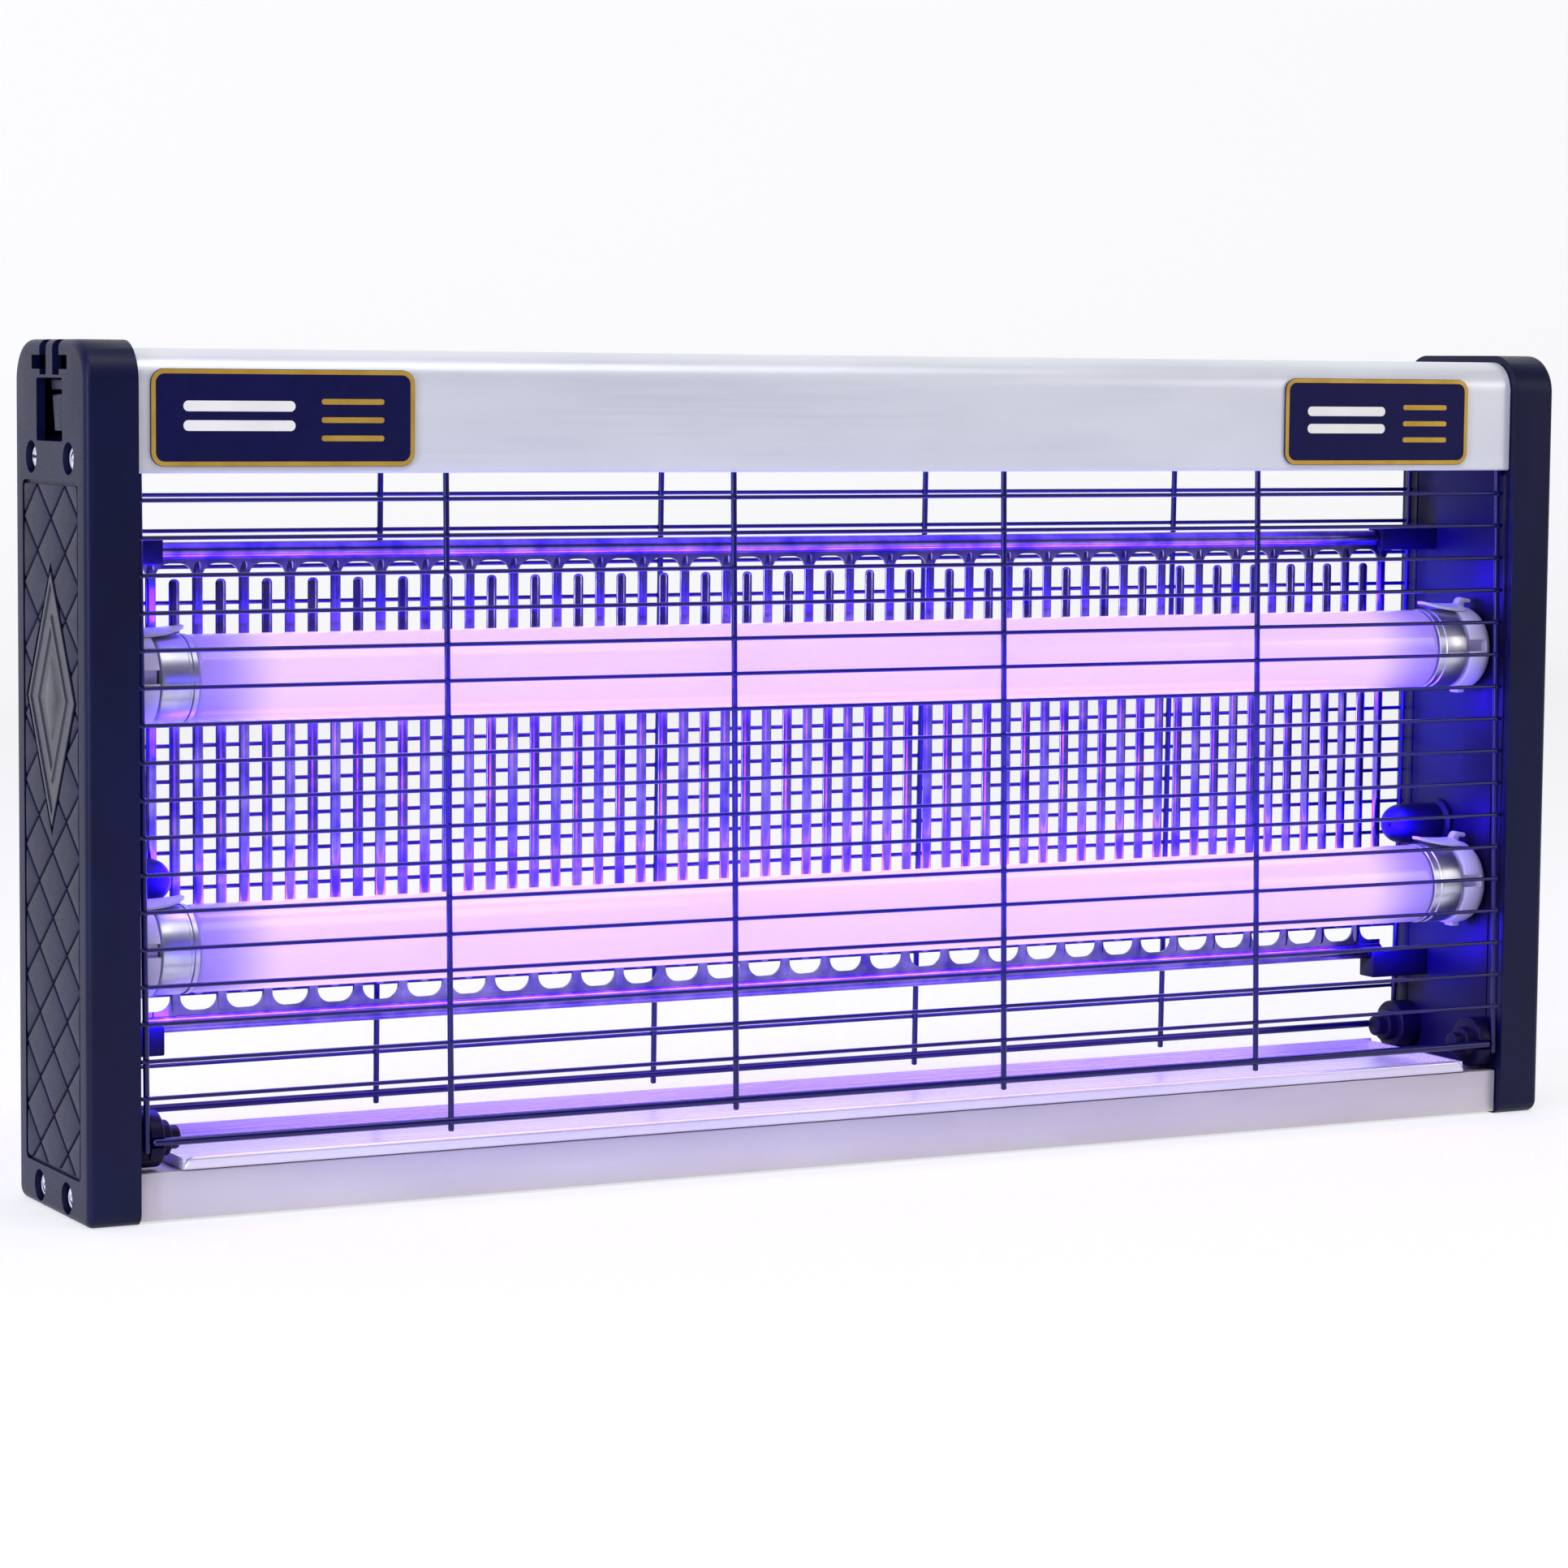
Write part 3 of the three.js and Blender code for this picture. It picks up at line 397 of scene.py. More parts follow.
@dataclass(frozen=True)
class Wound(Finish):
    """Enamelled wire or stacked laminations: fine parallel ridges across one axis."""

    ridge_mm: float = 0.6
    axis: Axis = Axis.X

    def pattern(self, tree: bpy.types.NodeTree, shader: bpy.types.Node) -> None:
        """Parallel ridges in the relief."""
        place = add_node(tree, "ShaderNodeTexCoord")
        wave = add_node(
            tree,
            "ShaderNodeTexWave",
            settings={"bands_direction": self.axis.name},
            values={"Scale": 0.314 / (self.ridge_mm * MM)},
            links={"Vector": place.outputs["Object"]},
        )
        self.bump(tree, shader, wave.outputs[1], 0.15, 0.8)


@dataclass(frozen=True)
class Finishes:
    """All the finishes of the appliance."""

    # ABS end housings: charcoal with a blue cast, semi-matt from a spark-eroded mould.
    housing: Finish = MouldedPlastic("abs_charcoal", "#070b2c", 0.4, specular=0.2, mottle="#0b1036")
    # The same plastic from a smoother mould: the inner walls mirror the lamps softly.
    inner: Finish = MouldedPlastic(
        "abs_black_smooth", "#0a0524", 0.4, specular=0.12, grain_depth_mm=0.012, mottle="#0d072c"
    )
    # Badges: the housing plastic, polished on its raised faces.
    badge: Finish = MouldedPlastic("abs_badge", "#1a1d30", 0.26, grain_depth_mm=0.008, mottle="#1f2236")
    # Top panel: satin anodised aluminium, nearly white, with a soft lengthwise sheen.
    top: Finish = RolledSheet("anodised_silver", "#e9ebee", 0.36, 0.35, other="#dfe1e6")
    # Base panel: the same sheet as the top, coloured darker and lilac: painted shade and painted lilac lamp
    # light.
    base: Finish = RolledSheet("anodised_painted_lamp_light", "#d4cdd2", 0.36, 0.35, other="#c8c0c8")
    # Tray: bright rolled aluminium.
    tray: Finish = RolledSheet("bright_tray", "#e8e2ea", 0.28, 0.45, other="#dcd4e0")
    # Chassis plate: mill-finished aluminium, greyer and rougher.
    mill: Finish = RolledSheet("mill_aluminium", "#c3c4c9", 0.42, 0.9)
    # Grid: polished stainless strip, which mirrors the lamps in long stripes. Its blue-violet colour and the
    # bluer dull patches are painted blue lamp glow.
    grid: Finish = PolishedMetal("stainless_painted_blue_glow", "#9082cc", 0.15, 1.0, dull="#50469c")
    # Screws: bright zinc plate.
    zinc: Finish = PolishedMetal("zinc_plate", "#f6f7fa", 0.3, 0.2, dull="#e6e8ee")
    # Lamp caps: satin aluminium.
    cap: Finish = PolishedMetal("cap_aluminium", "#d2d2dc", 0.3, 1.0, dull="#b4b4c4")
    # Guards: dark blue-black powder coat with a gloss that catches thin highlights.
    wire: Finish = CoatedWire("powder_coat_navy", "#0a0548", 0.26, specular=0.3)
    # Lamps: white phosphor behind glass, lit lilac.
    lamp: Finish = GlowingGlass("lit_lamp_glass", "#8a74b4", 0.2)
    # Lampholders: white PBT with a slight gloss.
    white: Finish = MouldedPlastic("pbt_white", "#c9c4d2", 0.32, grain_depth_mm=0.01, mottle="#bdb8c8")
    # Label plates: navy printed film.
    film: Finish = MouldedPlastic(
        "navy_film", "#04043c", 0.45, specular=0.2, grain_mm=3.0, grain_depth_mm=0.0, mottle="#050542"
    )
    # Label ink: warm gold.
    gold: Finish = PolishedMetal("gold_ink", "#d9b04a", 0.35, 0.6, dull="#c39a38")
    # Label ink: pale.
    pale: Finish = MouldedPlastic("pale_ink", "#f2f0e6", 0.4, grain_depth_mm=0.004, mottle="#e9e6da")
    # Transformer core: stacked silicon-steel laminations.
    core: Finish = Wound("laminated_steel", "#4d4f55", 0.45, 0.9, axis=Axis.Y)
    # Transformer coil: enamelled copper wire.
    copper: Finish = Wound("enamelled_copper", "#a8562a", 0.3, 0.8, axis=Axis.Z)
    # Ballast: white-painted sheet case.
    painted: Finish = MouldedPlastic("white_paint", "#e4e4df", 0.4, grain_mm=1.6, mottle="#dadad4")
    # Circuit board: green solder mask over glass laminate.
    board: Finish = MouldedPlastic("solder_mask", "#1c5a35", 0.35, grain_mm=0.8, mottle="#206440")
    # Capacitor: blue shrink sleeve.
    sleeve: Finish = MouldedPlastic("blue_sleeve", "#1d418f", 0.25, grain_mm=2.0, mottle="#214899")
    # Floor: matt white with painted glow: an emission that is strong round the object and on the backdrop,
    # and dim far in front of it.
    floor: Finish = LitFloor("painted_glow_floor", "#a4a4a8", 0.9, specular=0.1)


FINISHES = Finishes()


# ---- Mesh helpers -----------------------------------------------------------------
def new_object(name: str, mesh: bpy.types.Mesh) -> bpy.types.Object:
    """Put a mesh in the scene as an object at the origin."""
    item = bpy.data.objects.new(name, mesh)
    bpy.context.scene.collection.objects.link(item)
    return item


def from_bmesh(name: str, shape: bmesh.types.BMesh) -> bpy.types.Object:
    """Turn a bmesh into an object, with its faces pointing outwards."""
    bmesh.ops.recalc_face_normals(shape, faces=shape.faces)
    mesh = bpy.data.meshes.new(name)
    shape.to_mesh(mesh)
    shape.free()
    return new_object(name, mesh)


def loft(
    name: str,
    outline: Outline,
    rings: Sequence[Point],
    axis: Axis,
    slant: Callable[[Vector], Vector] | None = None,
) -> bpy.types.Object:
    """Skin a closed outline through rings and cap both ends.

    Args:
        name: the object's name.
        outline: gives the outline's points for an inset, in millimetres.
        rings: the inset and the place along the axis of each ring, in millimetres.
        axis: the direction that the rings follow.
        slant: an optional change of each finished point, in metres.

    Returns:
        The new closed object.
    """
    shape = bmesh.new()
    loops: list[list[bmesh.types.BMVert]] = []
    for inset, along in rings:
        points = [axis.place(along, a, b) * MM for a, b in outline(inset)]
        if slant is not None:
            points = [slant(point) for point in points]
        loops.append([shape.verts.new(point) for point in points])
    count = len(loops[0])
    for low, high in zip(loops, loops[1:]):
        for i in range(count):
            j = (i + 1) % count
            shape.faces.new((low[i], low[j], high[j], high[i]))
    shape.faces.new(list(reversed(loops[0])))
    shape.faces.new(loops[-1])
    return from_bmesh(name, shape)


def hoop(name: str, loops: Sequence[Sequence[Vector]]) -> bpy.types.Object:
    """Skin loops of points, in millimetres, each to the next and the last to the first."""
    shape = bmesh.new()
    rings = [[shape.verts.new(point * MM) for point in loop] for loop in loops]
    for here, there in zip(rings, rings[1:] + rings[:1]):
        for i in range(len(here)):
            j = (i + 1) % len(here)
            shape.faces.new((here[i], here[j], there[j], there[i]))
    return from_bmesh(name, shape)


def prism(name: str, points: Sequence[Point], axis: Axis, start: float, end: float) -> bpy.types.Object:
    """Extrude a fixed outline between two places along an axis, in millimetres."""
    return loft(name, lambda _inset: list(points), [(0, start), (0, end)], axis)


def turned(
    name: str,
    profile: Sequence[Point],
    axis: Axis,
    centre: Point,
    sides: int = 48,
) -> bpy.types.Object:
    """Turn a profile of places along the axis and radii round that axis.

    Args:
        name: the object's name.
        profile: place along the axis and radius of each step, with radius 0 at both ends.
        axis: the axis that the profile turns round.
        centre: the axis's two cross coordinates.
        sides: number of facets round.

    Returns:
        The new closed object.
    """
    shape = bmesh.new()
    rings: list[list[bmesh.types.BMVert]] = []
    for along, radius in profile:
        if radius <= 0:
            rings.append([shape.verts.new(axis.place(along, *centre) * MM)])
            continue
        ring = []
        for i in range(sides):
            angle = 2 * math.pi * i / sides
            first = centre[0] + radius * math.cos(angle)
            second = centre[1] + radius * math.sin(angle)
            ring.append(shape.verts.new(axis.place(along, first, second) * MM))
        rings.append(ring)
    for low, high in zip(rings, rings[1:]):
        for i in range(sides):
            j = (i + 1) % sides
            if len(low) == 1:
                shape.faces.new((low[0], high[j], high[i]))
            elif len(high) == 1:
                shape.faces.new((low[i], low[j], high[0]))
            else:
                shape.faces.new((low[i], low[j], high[j], high[i]))
    return from_bmesh(name, shape)


def block(name: str, low: Sequence[float], high: Sequence[float]) -> bpy.types.Object:
    """Make a plain box between two corners, in millimetres, for joining or cutting."""
    points = [(low[1], low[2]), (high[1], low[2]), (high[1], high[2]), (low[1], high[2])]
    return prism(name, points, Axis.X, low[0], high[0])


def arc(centre: Point, radius: float, start: float, end: float, steps: int) -> list[Point]:
    """Return points on an arc, with its angles in degrees."""
    points = []
    for i in range(steps + 1):
        angle = math.radians(start + (end - start) * i / steps)
        points.append((centre[0] + radius * math.cos(angle), centre[1] + radius * math.sin(angle)))
    return points


def quarter(steps: int) -> list[Point]:
    """Return 1 - sin and 1 - cos of evenly spaced angles over a quarter turn."""
    angles = [math.pi / 2 * i / steps for i in range(steps + 1)]
    return [(1 - math.sin(angle), 1 - math.cos(angle)) for angle in angles]


def rounded_box(low: Point, high: Point, radii: Sequence[float], steps: int = 8) -> Outline:
    """Return the outline of a rectangle whose four corners are rounded.

    Args:
        low: its lowest corner.
        high: its highest corner.
        radii: corner radii, from low-low, counter-clockwise.
        steps: facets in each corner.

    Returns:
        A function that gives the outline's points for an inset.
    """

    def outline(inset: float) -> list[Point]:
        """Return the points, moved in by the inset."""
        r = [max(radius - inset, 0.05) for radius in radii]
        a0, b0 = low[0] + inset, low[1] + inset
        a1, b1 = high[0] - inset, high[1] - inset
        points = arc((a0 + r[0], b0 + r[0]), r[0], 180, 270, steps)
        points += arc((a1 - r[1], b0 + r[1]), r[1], 270, 360, steps)
        points += arc((a1 - r[2], b1 - r[2]), r[2], 0, 90, steps)
        points += arc((a0 + r[3], b1 - r[3]), r[3], 90, 180, steps)
        return points

    return outline


def join(name: str, items: Sequence[bpy.types.Object]) -> bpy.types.Object:
    """Put the meshes of several objects into one new object, and delete the old ones."""
    shape = bmesh.new()
    for item in items:
        shape.from_mesh(item.data)
    mesh = bpy.data.meshes.new(name)
    shape.to_mesh(mesh)
    shape.free()
    for item in items:
        bpy.data.objects.remove(item)
    return new_object(name, mesh)


def settle(item: bpy.types.Object) -> bpy.types.Object:
    """Replace an object's mesh by what its modifiers make of it, and drop them."""
    graph = bpy.context.evaluated_depsgraph_get()
    mesh = bpy.data.meshes.new_from_object(item.evaluated_get(graph))
    item.modifiers.clear()
    item.data = mesh
    return item


def combine(item: bpy.types.Object, other: bpy.types.Object, operation: str) -> bpy.types.Object:
    """Join, cut or intersect an object with another one, which is then deleted."""
    modifier = item.modifiers.new("combine", "BOOLEAN")
    modifier.operation = operation
    modifier.object = other
    modifier.solver = "EXACT"
    modifier.use_self = True
    settle(item)
    bpy.data.objects.remove(other)
    return item


def soften(
    item: bpy.types.Object, width_mm: float, segments: int = 2, angle: float = 35.0
) -> bpy.types.Object:
    """Round an object's sharp edges."""
    modifier = item.modifiers.new("soften", "BEVEL")
    modifier.width = width_mm * MM
    modifier.segments = segments
    modifier.limit_method = "ANGLE"
    modifier.angle_limit = math.radians(angle)
    modifier.harden_normals = False
    return settle(item)


def mirrored(item: bpy.types.Object, axis: Axis) -> bpy.types.Object:
    """Mirror an object's mesh through the middle plane across an axis."""
    scale = {Axis.X: (-1, 1, 1), Axis.Y: (1, -1, 1), Axis.Z: (1, 1, -1)}[axis]
    item.data.transform(Matrix.Diagonal((*scale, 1)))
    item.data.flip_normals()
    return item


def for_end(item: bpy.types.Object, sign: int) -> bpy.types.Object:
    """Mirror a piece made for the right-hand end when the left-hand one is wanted."""
    return item if sign > 0 else mirrored(item, Axis.X)


def node_copy(node: str, name: str, width_mm: float, segments: int = 2) -> bpy.types.Object:
    """Copy a CAD node with its facets merged and its edges rounded.

    Args:
        node: the CAD node's name.
        name: the new object's name.
        width_mm: width of the rounding.
        segments: facets of the rounding.

    Returns:
        The new object.
    """
    shape = bmesh.new()
    shape.from_mesh(frame["nodes"][node].data)
    bmesh.ops.remove_doubles(shape, verts=shape.verts, dist=1e-6)
    bmesh.ops.dissolve_limit(
        shape, angle_limit=math.radians(1), verts=shape.verts, edges=shape.edges
    )
    item = from_bmesh(name, shape)
    return soften(item, width_mm, segments)


def dress(
    item: bpy.types.Object,
    finish: Finish,
    body: str,
    slot: str,
    nodes: Iterable[str] = (),
    smooth_angle: float = 32.0,
) -> bpy.types.Object:
    """Give a finished piece its material, smoothing, body and CAD nodes.

    Args:
        item: the piece.
        finish: its surface.
        body: the CAD body that it rides on.
        slot: the record's material slot; not used.
        nodes: the CAD nodes that it stands for.
        smooth_angle: edges flatter than this, in degrees, shade smoothly.

    Returns:
        The piece.
    """
    if not item.data.materials:
        item.data.materials.append(finish.material())
    else:
        item.data.materials[0] = finish.material()
    mesh = item.data
    mesh.polygons.foreach_set("use_smooth", [True] * len(mesh.polygons))
    mesh.set_sharp_from_angle(angle=math.radians(smooth_angle))
    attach(item, body)
    names = list(nodes)
    if names:
        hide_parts(*names)
    LOG.info("%s: %d faces on %s", item.name, len(mesh.polygons), body)
    return item


def span(node: str) -> tuple[Vector, Vector]:
    """Return a CAD node's lowest and highest corners in millimetres."""
    low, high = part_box(node)
    return low / MM, high / MM


def axis_at(node: str) -> Point:
    """Return where a CAD node's axis along X stands in Y and Z, in millimetres."""
    low, high = span(node)
    return (low.y + high.y) / 2, (low.z + high.z) / 2


# ---- Geometry Nodes ---------------------------------------------------------------
class Copies:
    """A Geometry Nodes tree that repeats its own geometry in a row or a grid."""

    NAME = "copies_in_a_grid"
    SOCKETS = (
        ("Count A", "NodeSocketInt"),
        ("Offset A", "NodeSocketVector"),
        ("Count B", "NodeSocketInt"),
        ("Offset B", "NodeSocketVector"),
        ("Material", "NodeSocketMaterial"),
    )

    @classmethod
    def tree(cls) -> bpy.types.NodeTree:
        """Return the tree, built the first time that it is asked for."""
        known = bpy.data.node_groups.get(cls.NAME)
        if known is not None:
            return known
        tree = bpy.data.node_groups.new(cls.NAME, "GeometryNodeTree")
        tree.interface.new_socket("Geometry", in_out="INPUT", socket_type="NodeSocketGeometry")
        for name, kind in cls.SOCKETS:
            tree.interface.new_socket(name, in_out="INPUT", socket_type=kind)
        tree.interface.new_socket("Geometry", in_out="OUTPUT", socket_type="NodeSocketGeometry")
        source = add_node(tree, "NodeGroupInput")
        geometry = source.outputs["Geometry"]
        for letter in "AB":
            line = add_node(
                tree,
                "GeometryNodeMeshLine",
                settings={"mode": "OFFSET"},
                links={
                    "Count": source.outputs[f"Count {letter}"],
                    "Offset": source.outputs[f"Offset {letter}"],
                },
            )
            instances = add_node(
                tree,
                "GeometryNodeInstanceOnPoints",
                links={"Points": line.outputs[0], "Instance": geometry},
            )
            geometry = add_node(
                tree, "GeometryNodeRealizeInstances", links={0: instances.outputs[0]}
            ).outputs[0]
        painted = add_node(
            tree,
            "GeometryNodeSetMaterial",
            links={"Geometry": geometry, "Material": source.outputs["Material"]},
        )
        add_node(tree, "NodeGroupOutput", links={0: painted.outputs[0]})
        return tree

    @classmethod
    def of(
        cls,
        item: bpy.types.Object,
        finish: Finish,
        first: tuple[int, Vector],
        second: tuple[int, Vector] = (1, Vector()),
    ) -> bpy.types.Object:
        """Repeat an object's mesh.

        Args:
            item: the object, whose mesh becomes the whole row or grid.
            finish: the surface that Set Material gives it.
            first: count and step of the first direction, in millimetres.
            second: count and step of the second direction, in millimetres.

        Returns:
            The same object with the copies as its mesh.
        """
        tree = cls.tree()
        modifier = item.modifiers.new("copies", "NODES")
        modifier.node_group = tree
        values = {
            "Count A": first[0],
            "Offset A": first[1] * MM,
            "Count B": second[0],
            "Offset B": second[1] * MM,
            "Material": finish.material(),
        }
        set_inputs(modifier, values)
        return settle(item)


def set_inputs(modifier: bpy.types.Modifier, values: dict[str, object]) -> None:
    """Set a Geometry Nodes modifier's inputs by their sockets' identifiers."""
    for socket in modifier.node_group.interface.items_tree:
        if socket.item_type == "SOCKET" and socket.in_out == "INPUT" and socket.name in values:
            modifier[socket.identifier] = values[socket.name]


class Fasteners:
    """A Geometry Nodes tree that puts one fastener on each point of a mesh.

    Each point's facing attribute is the way that the fastener's head looks.
    """

    NAME = "fasteners_on_points"

    @classmethod
    def tree(cls) -> bpy.types.NodeTree:
        """Return the tree, built the first time that it is asked for."""
        known = bpy.data.node_groups.get(cls.NAME)
        if known is not None:
            return known
        tree = bpy.data.node_groups.new(cls.NAME, "GeometryNodeTree")
        tree.interface.new_socket("Geometry", in_out="INPUT", socket_type="NodeSocketGeometry")
        tree.interface.new_socket("Fastener", in_out="INPUT", socket_type="NodeSocketObject")
        tree.interface.new_socket("Turn Seed", in_out="INPUT", socket_type="NodeSocketInt")
        tree.interface.new_socket("Material", in_out="INPUT", socket_type="NodeSocketMaterial")
        tree.interface.new_socket("Geometry", in_out="OUTPUT", socket_type="NodeSocketGeometry")
        source = add_node(tree, "NodeGroupInput")
        facing = add_node(
            tree,
            "GeometryNodeInputNamedAttribute",
            settings={"data_type": "FLOAT_VECTOR"},
            values={"Name": "facing"},
        )
        aligned = add_node(
            tree,
            "FunctionNodeAlignRotationToVector",
            settings={"axis": "X"},
            links={"Vector": facing.outputs["Attribute"]},
        )
        turn = add_node(
            tree,
            "FunctionNodeRandomValue",
            settings={"data_type": "FLOAT"},
            values={2: 0.0, 3: math.tau},
            links={"Seed": source.outputs["Turn Seed"]},
        )
        spin = add_node(
            tree, "ShaderNodeCombineXYZ", links={"X": turn.outputs[1]}
        )
        local = add_node(tree, "FunctionNodeEulerToRotation", links={0: spin.outputs[0]})
        rotation = add_node(
            tree,
            "FunctionNodeRotateRotation",
            settings={"rotation_space": "LOCAL"},
            links={"Rotation": aligned.outputs[0], "Rotate By": local.outputs[0]},
        )
        info = add_node(tree, "GeometryNodeObjectInfo", links={"Object": source.outputs["Fastener"]})
        instances = add_node(
            tree,
            "GeometryNodeInstanceOnPoints",
            links={
                "Points": source.outputs["Geometry"],
                "Instance": info.outputs["Geometry"],
                "Rotation": rotation.outputs[0],
            },
        )
        real = add_node(tree, "GeometryNodeRealizeInstances", links={0: instances.outputs[0]})
        painted = add_node(
            tree,
            "GeometryNodeSetMaterial",
            links={"Geometry": real.outputs[0], "Material": source.outputs["Material"]},
        )
        add_node(tree, "NodeGroupOutput", links={0: painted.outputs[0]})
        return tree

    @classmethod
    def place(
        cls,
        name: str,
        fastener: bpy.types.Object,
        finish: Finish,
        spots: Sequence[tuple[Vector, Vector]],
        seed: int,
    ) -> bpy.types.Object:
        """Put copies of a fastener on the given spots.

        Args:
            name: the new object's name.
            fastener: the fastener, with its head looking along +X from the origin.
            finish: its surface.
            spots: place and facing of each copy, in millimetres.
            seed: fixes how far each copy is turned.

        Returns:
            One object that holds all the copies. The pattern fastener is deleted.
        """
        mesh = bpy.data.meshes.new(name)
        mesh.from_pydata([tuple(place * MM) for place, _facing in spots], [], [])
        facing = mesh.attributes.new("facing", "FLOAT_VECTOR", "POINT")
        for index, (_place, direction) in enumerate(spots):
            facing.data[index].vector = direction
        item = new_object(name, mesh)
        modifier = item.modifiers.new("fasteners", "NODES")
        modifier.node_group = cls.tree()
        set_inputs(
            modifier,
            {"Fastener": fastener, "Turn Seed": seed, "Material": finish.material()},
        )
        settle(item)
        bpy.data.objects.remove(fastener)
        return item


ENDS = (("left", -1), ("right", 1))
SCREW_PLACES = ("upper_rear", "upper_front", "lower_rear", "lower_front")


# ---- End housings -----------------------------------------------------------------
@dataclass
class EndHousing:
    """A moulded end housing with its patterned field, badge, cover and latch tongue."""

    side: str
    sign: int
    wall: float = 2.6
    top_radius: float = 12.0
    foot_radius: float = 4.0
    edge_radius: float = 2.4
    recess: float = 1.0
    field_margin: float = 7.0
    field_bottom: float = 12.6
    field_top_drop: float = 40.0
    slot_inner: float = 2.8
    slot_outer: float = 8.4
    slot_depth: float = 10.0
    arm_half: float = 15.3
    arm_drop: float = 6.4
    arm_height: float = 4.0
    window_width: float = 22.4
    window_height: float = 17.9
    window_drop: float = 19.8
    well_radius: float = 4.65
    well_depth: float = 6.0
    shank_room: float = 2.2
    boss_wall: float = 1.4
    tile_width: float = 24.0
    tile_height: float = 19.0
    tile_groove: float = 1.1
    tile_rise: float = 0.8
    badge_groove: float = 1.2
    tongue_depth: float = 1.0
    tongue_slope: float = 0.9
    crisp: float = 0.25

    def __post_init__(self) -> None:
        """Read the housing's box from the frame, as the right-hand one."""
        low, high = span("end_housing_right")
        self.inner_x = low.x
        self.outer_x = high.x
        self.half_depth = high.y
        self.height = high.z
        self.floor_x = self.outer_x - self.recess

    def screw_spots(self) -> list[Point]:
        """Return the Y and Z of the four screw wells."""
        return [axis_at(f"screw_right_{place}") for place in SCREW_PLACES]

    def cutters(self) -> list[bpy.types.Object]:
        """Return what is cut out of the housing: wells, field, window and slots."""
        far = self.outer_x + 5
        behind = self.outer_x - self.wall - 0.3
        top = self.height
        items = []
        for spot in self.screw_spots():
            well = [(self.outer_x - self.well_depth, 0), (self.outer_x - self.well_depth, self.well_radius)]
            items.append(turned("well", well + [(far, self.well_radius), (far, 0)], Axis.X, spot, 40))
            room = [(self.inner_x - 1, 0), (self.inner_x - 1, self.shank_room)]
            items.append(turned("room", room + [(far, self.shank_room), (far, 0)], Axis.X, spot, 24))
        field_low = (-self.half_depth + self.field_margin, self.field_bottom)
        field_high = (self.half_depth - self.field_margin, top - self.field_top_drop)
        field_outline = rounded_box(field_low, field_high, (2, 2, 2, 2), 5)
        items.append(loft("field", field_outline, [(0, self.floor_x), (0, far)], Axis.X))
        centre = top - self.window_drop
        window_low = (-self.window_width / 2, centre - self.window_height / 2)
        window_high = (self.window_width / 2, centre + self.window_height / 2)
        window_outline = rounded_box(window_low, window_high, (0.8,) * 4, 4)
        items.append(loft("window", window_outline, [(0, behind), (0, far)], Axis.X))
        for sign in (-1, 1):
            inner, outer = sorted((sign * self.slot_inner, sign * self.slot_outer))
            arm = sorted((sign * self.slot_inner, sign * self.arm_half))
            arm_z = top - self.arm_drop
            floor, mouth = top - self.slot_depth, top - self.slot_depth / 2
            half_arm = self.arm_height / 2
            items.append(block("slot", (behind, inner, floor), (far, outer, top - self.wall)))
            items.append(block("mouth", (self.outer_x - 5, inner, mouth), (far, outer, top + 5)))
            items.append(
                block("arm", (behind, arm[0], arm_z - half_arm), (far, arm[1], arm_z + half_arm))
            )
        return items

    def shell(self) -> bpy.types.Object:
        """Build the hollow shell with its bosses and cut-outs."""
        low = (-self.half_depth, 0.0)
        high = (self.half_depth, self.height)
        radii = (self.foot_radius, self.foot_radius, self.top_radius, self.top_radius)
        outline = rounded_box(low, high, radii, 16)
        rings = [(self.wall, self.outer_x - self.wall), (self.wall, self.inner_x), (0.0, self.inner_x)]
        for drop, inset in quarter(7):
            rings.append((self.edge_radius * inset, self.outer_x - self.edge_radius * drop))
        item = loft(f"housing_{self.side}", outline, rings, Axis.X)
        radius = self.well_radius + self.boss_wall
        start = self.inner_x + 2.5
        end = self.outer_x - self.wall / 2
        for spot in self.screw_spots():
            profile = [(start, 0), (start, radius), (end, radius), (end, 0)]
            combine(item, turned("boss", profile, Axis.X, spot, 40), "UNION")
        for cutter in self.cutters():
            combine(item, cutter, "DIFFERENCE")
        return soften(item, self.crisp, 2, 40)

    def tiles(self) -> bpy.types.Object:
        """Build the field of raised diamonds, open round the badge."""
        half_w = (self.tile_width - self.tile_groove) / 2
        half_h = (self.tile_height - self.tile_groove) / 2

        def outline(inset: float) -> list[Point]:
            """Return one diamond, moved in by the inset."""
            w, h = half_w - inset * 1.3, half_h - inset
            return [(0, -h), (w, 0), (0, h), (-w, 0)]

        base = self.floor_x - 0.2
        face = self.floor_x + self.tile_rise
        rings = [(0, base), (0, face - 0.45), (0.35, face - 0.12), (1.1, face), (half_h * 0.72, face + 0.06)]
        rows = math.ceil(self.height / self.tile_height) + 1
        lattices = []
        for shift in (0, 1):
            item = loft("tiles", outline, rings, Axis.X)
            start = Vector((0, (shift / 2 - 1) * self.tile_width, shift / 2 * self.tile_height))
            item.data.transform(Matrix.Translation(start * MM))
            Copies.of(
                item,
                FINISHES.housing,
                (rows, Vector((0, 0, self.tile_height))),
                (3, Vector((0, self.tile_width, 0))),
            )
            lattices.append(item)
        item = join(f"housing_tiles_{self.side}", lattices)
        margin = self.tile_groove
        low = (-self.half_depth + self.field_margin + margin, self.field_bottom + margin)
        high = (self.half_depth - self.field_margin - margin, self.height - self.field_top_drop - margin)
        bounds = rounded_box(low, high, (1.2,) * 4, 4)
        window = loft("bounds", bounds, [(0, self.floor_x + 0.02), (0, self.outer_x + 1)], Axis.X)
        combine(item, window, "INTERSECT")
        badge_low, badge_high = span("badge_right")
        centre_z = (badge_low.z + badge_high.z) / 2
        half_y = badge_high.y + self.badge_groove * 1.6
        half_z = (badge_high.z - badge_low.z) / 2 + self.badge_groove * 2.2
        room = [(0, centre_z - half_z), (half_y, centre_z), (0, centre_z + half_z), (-half_y, centre_z)]
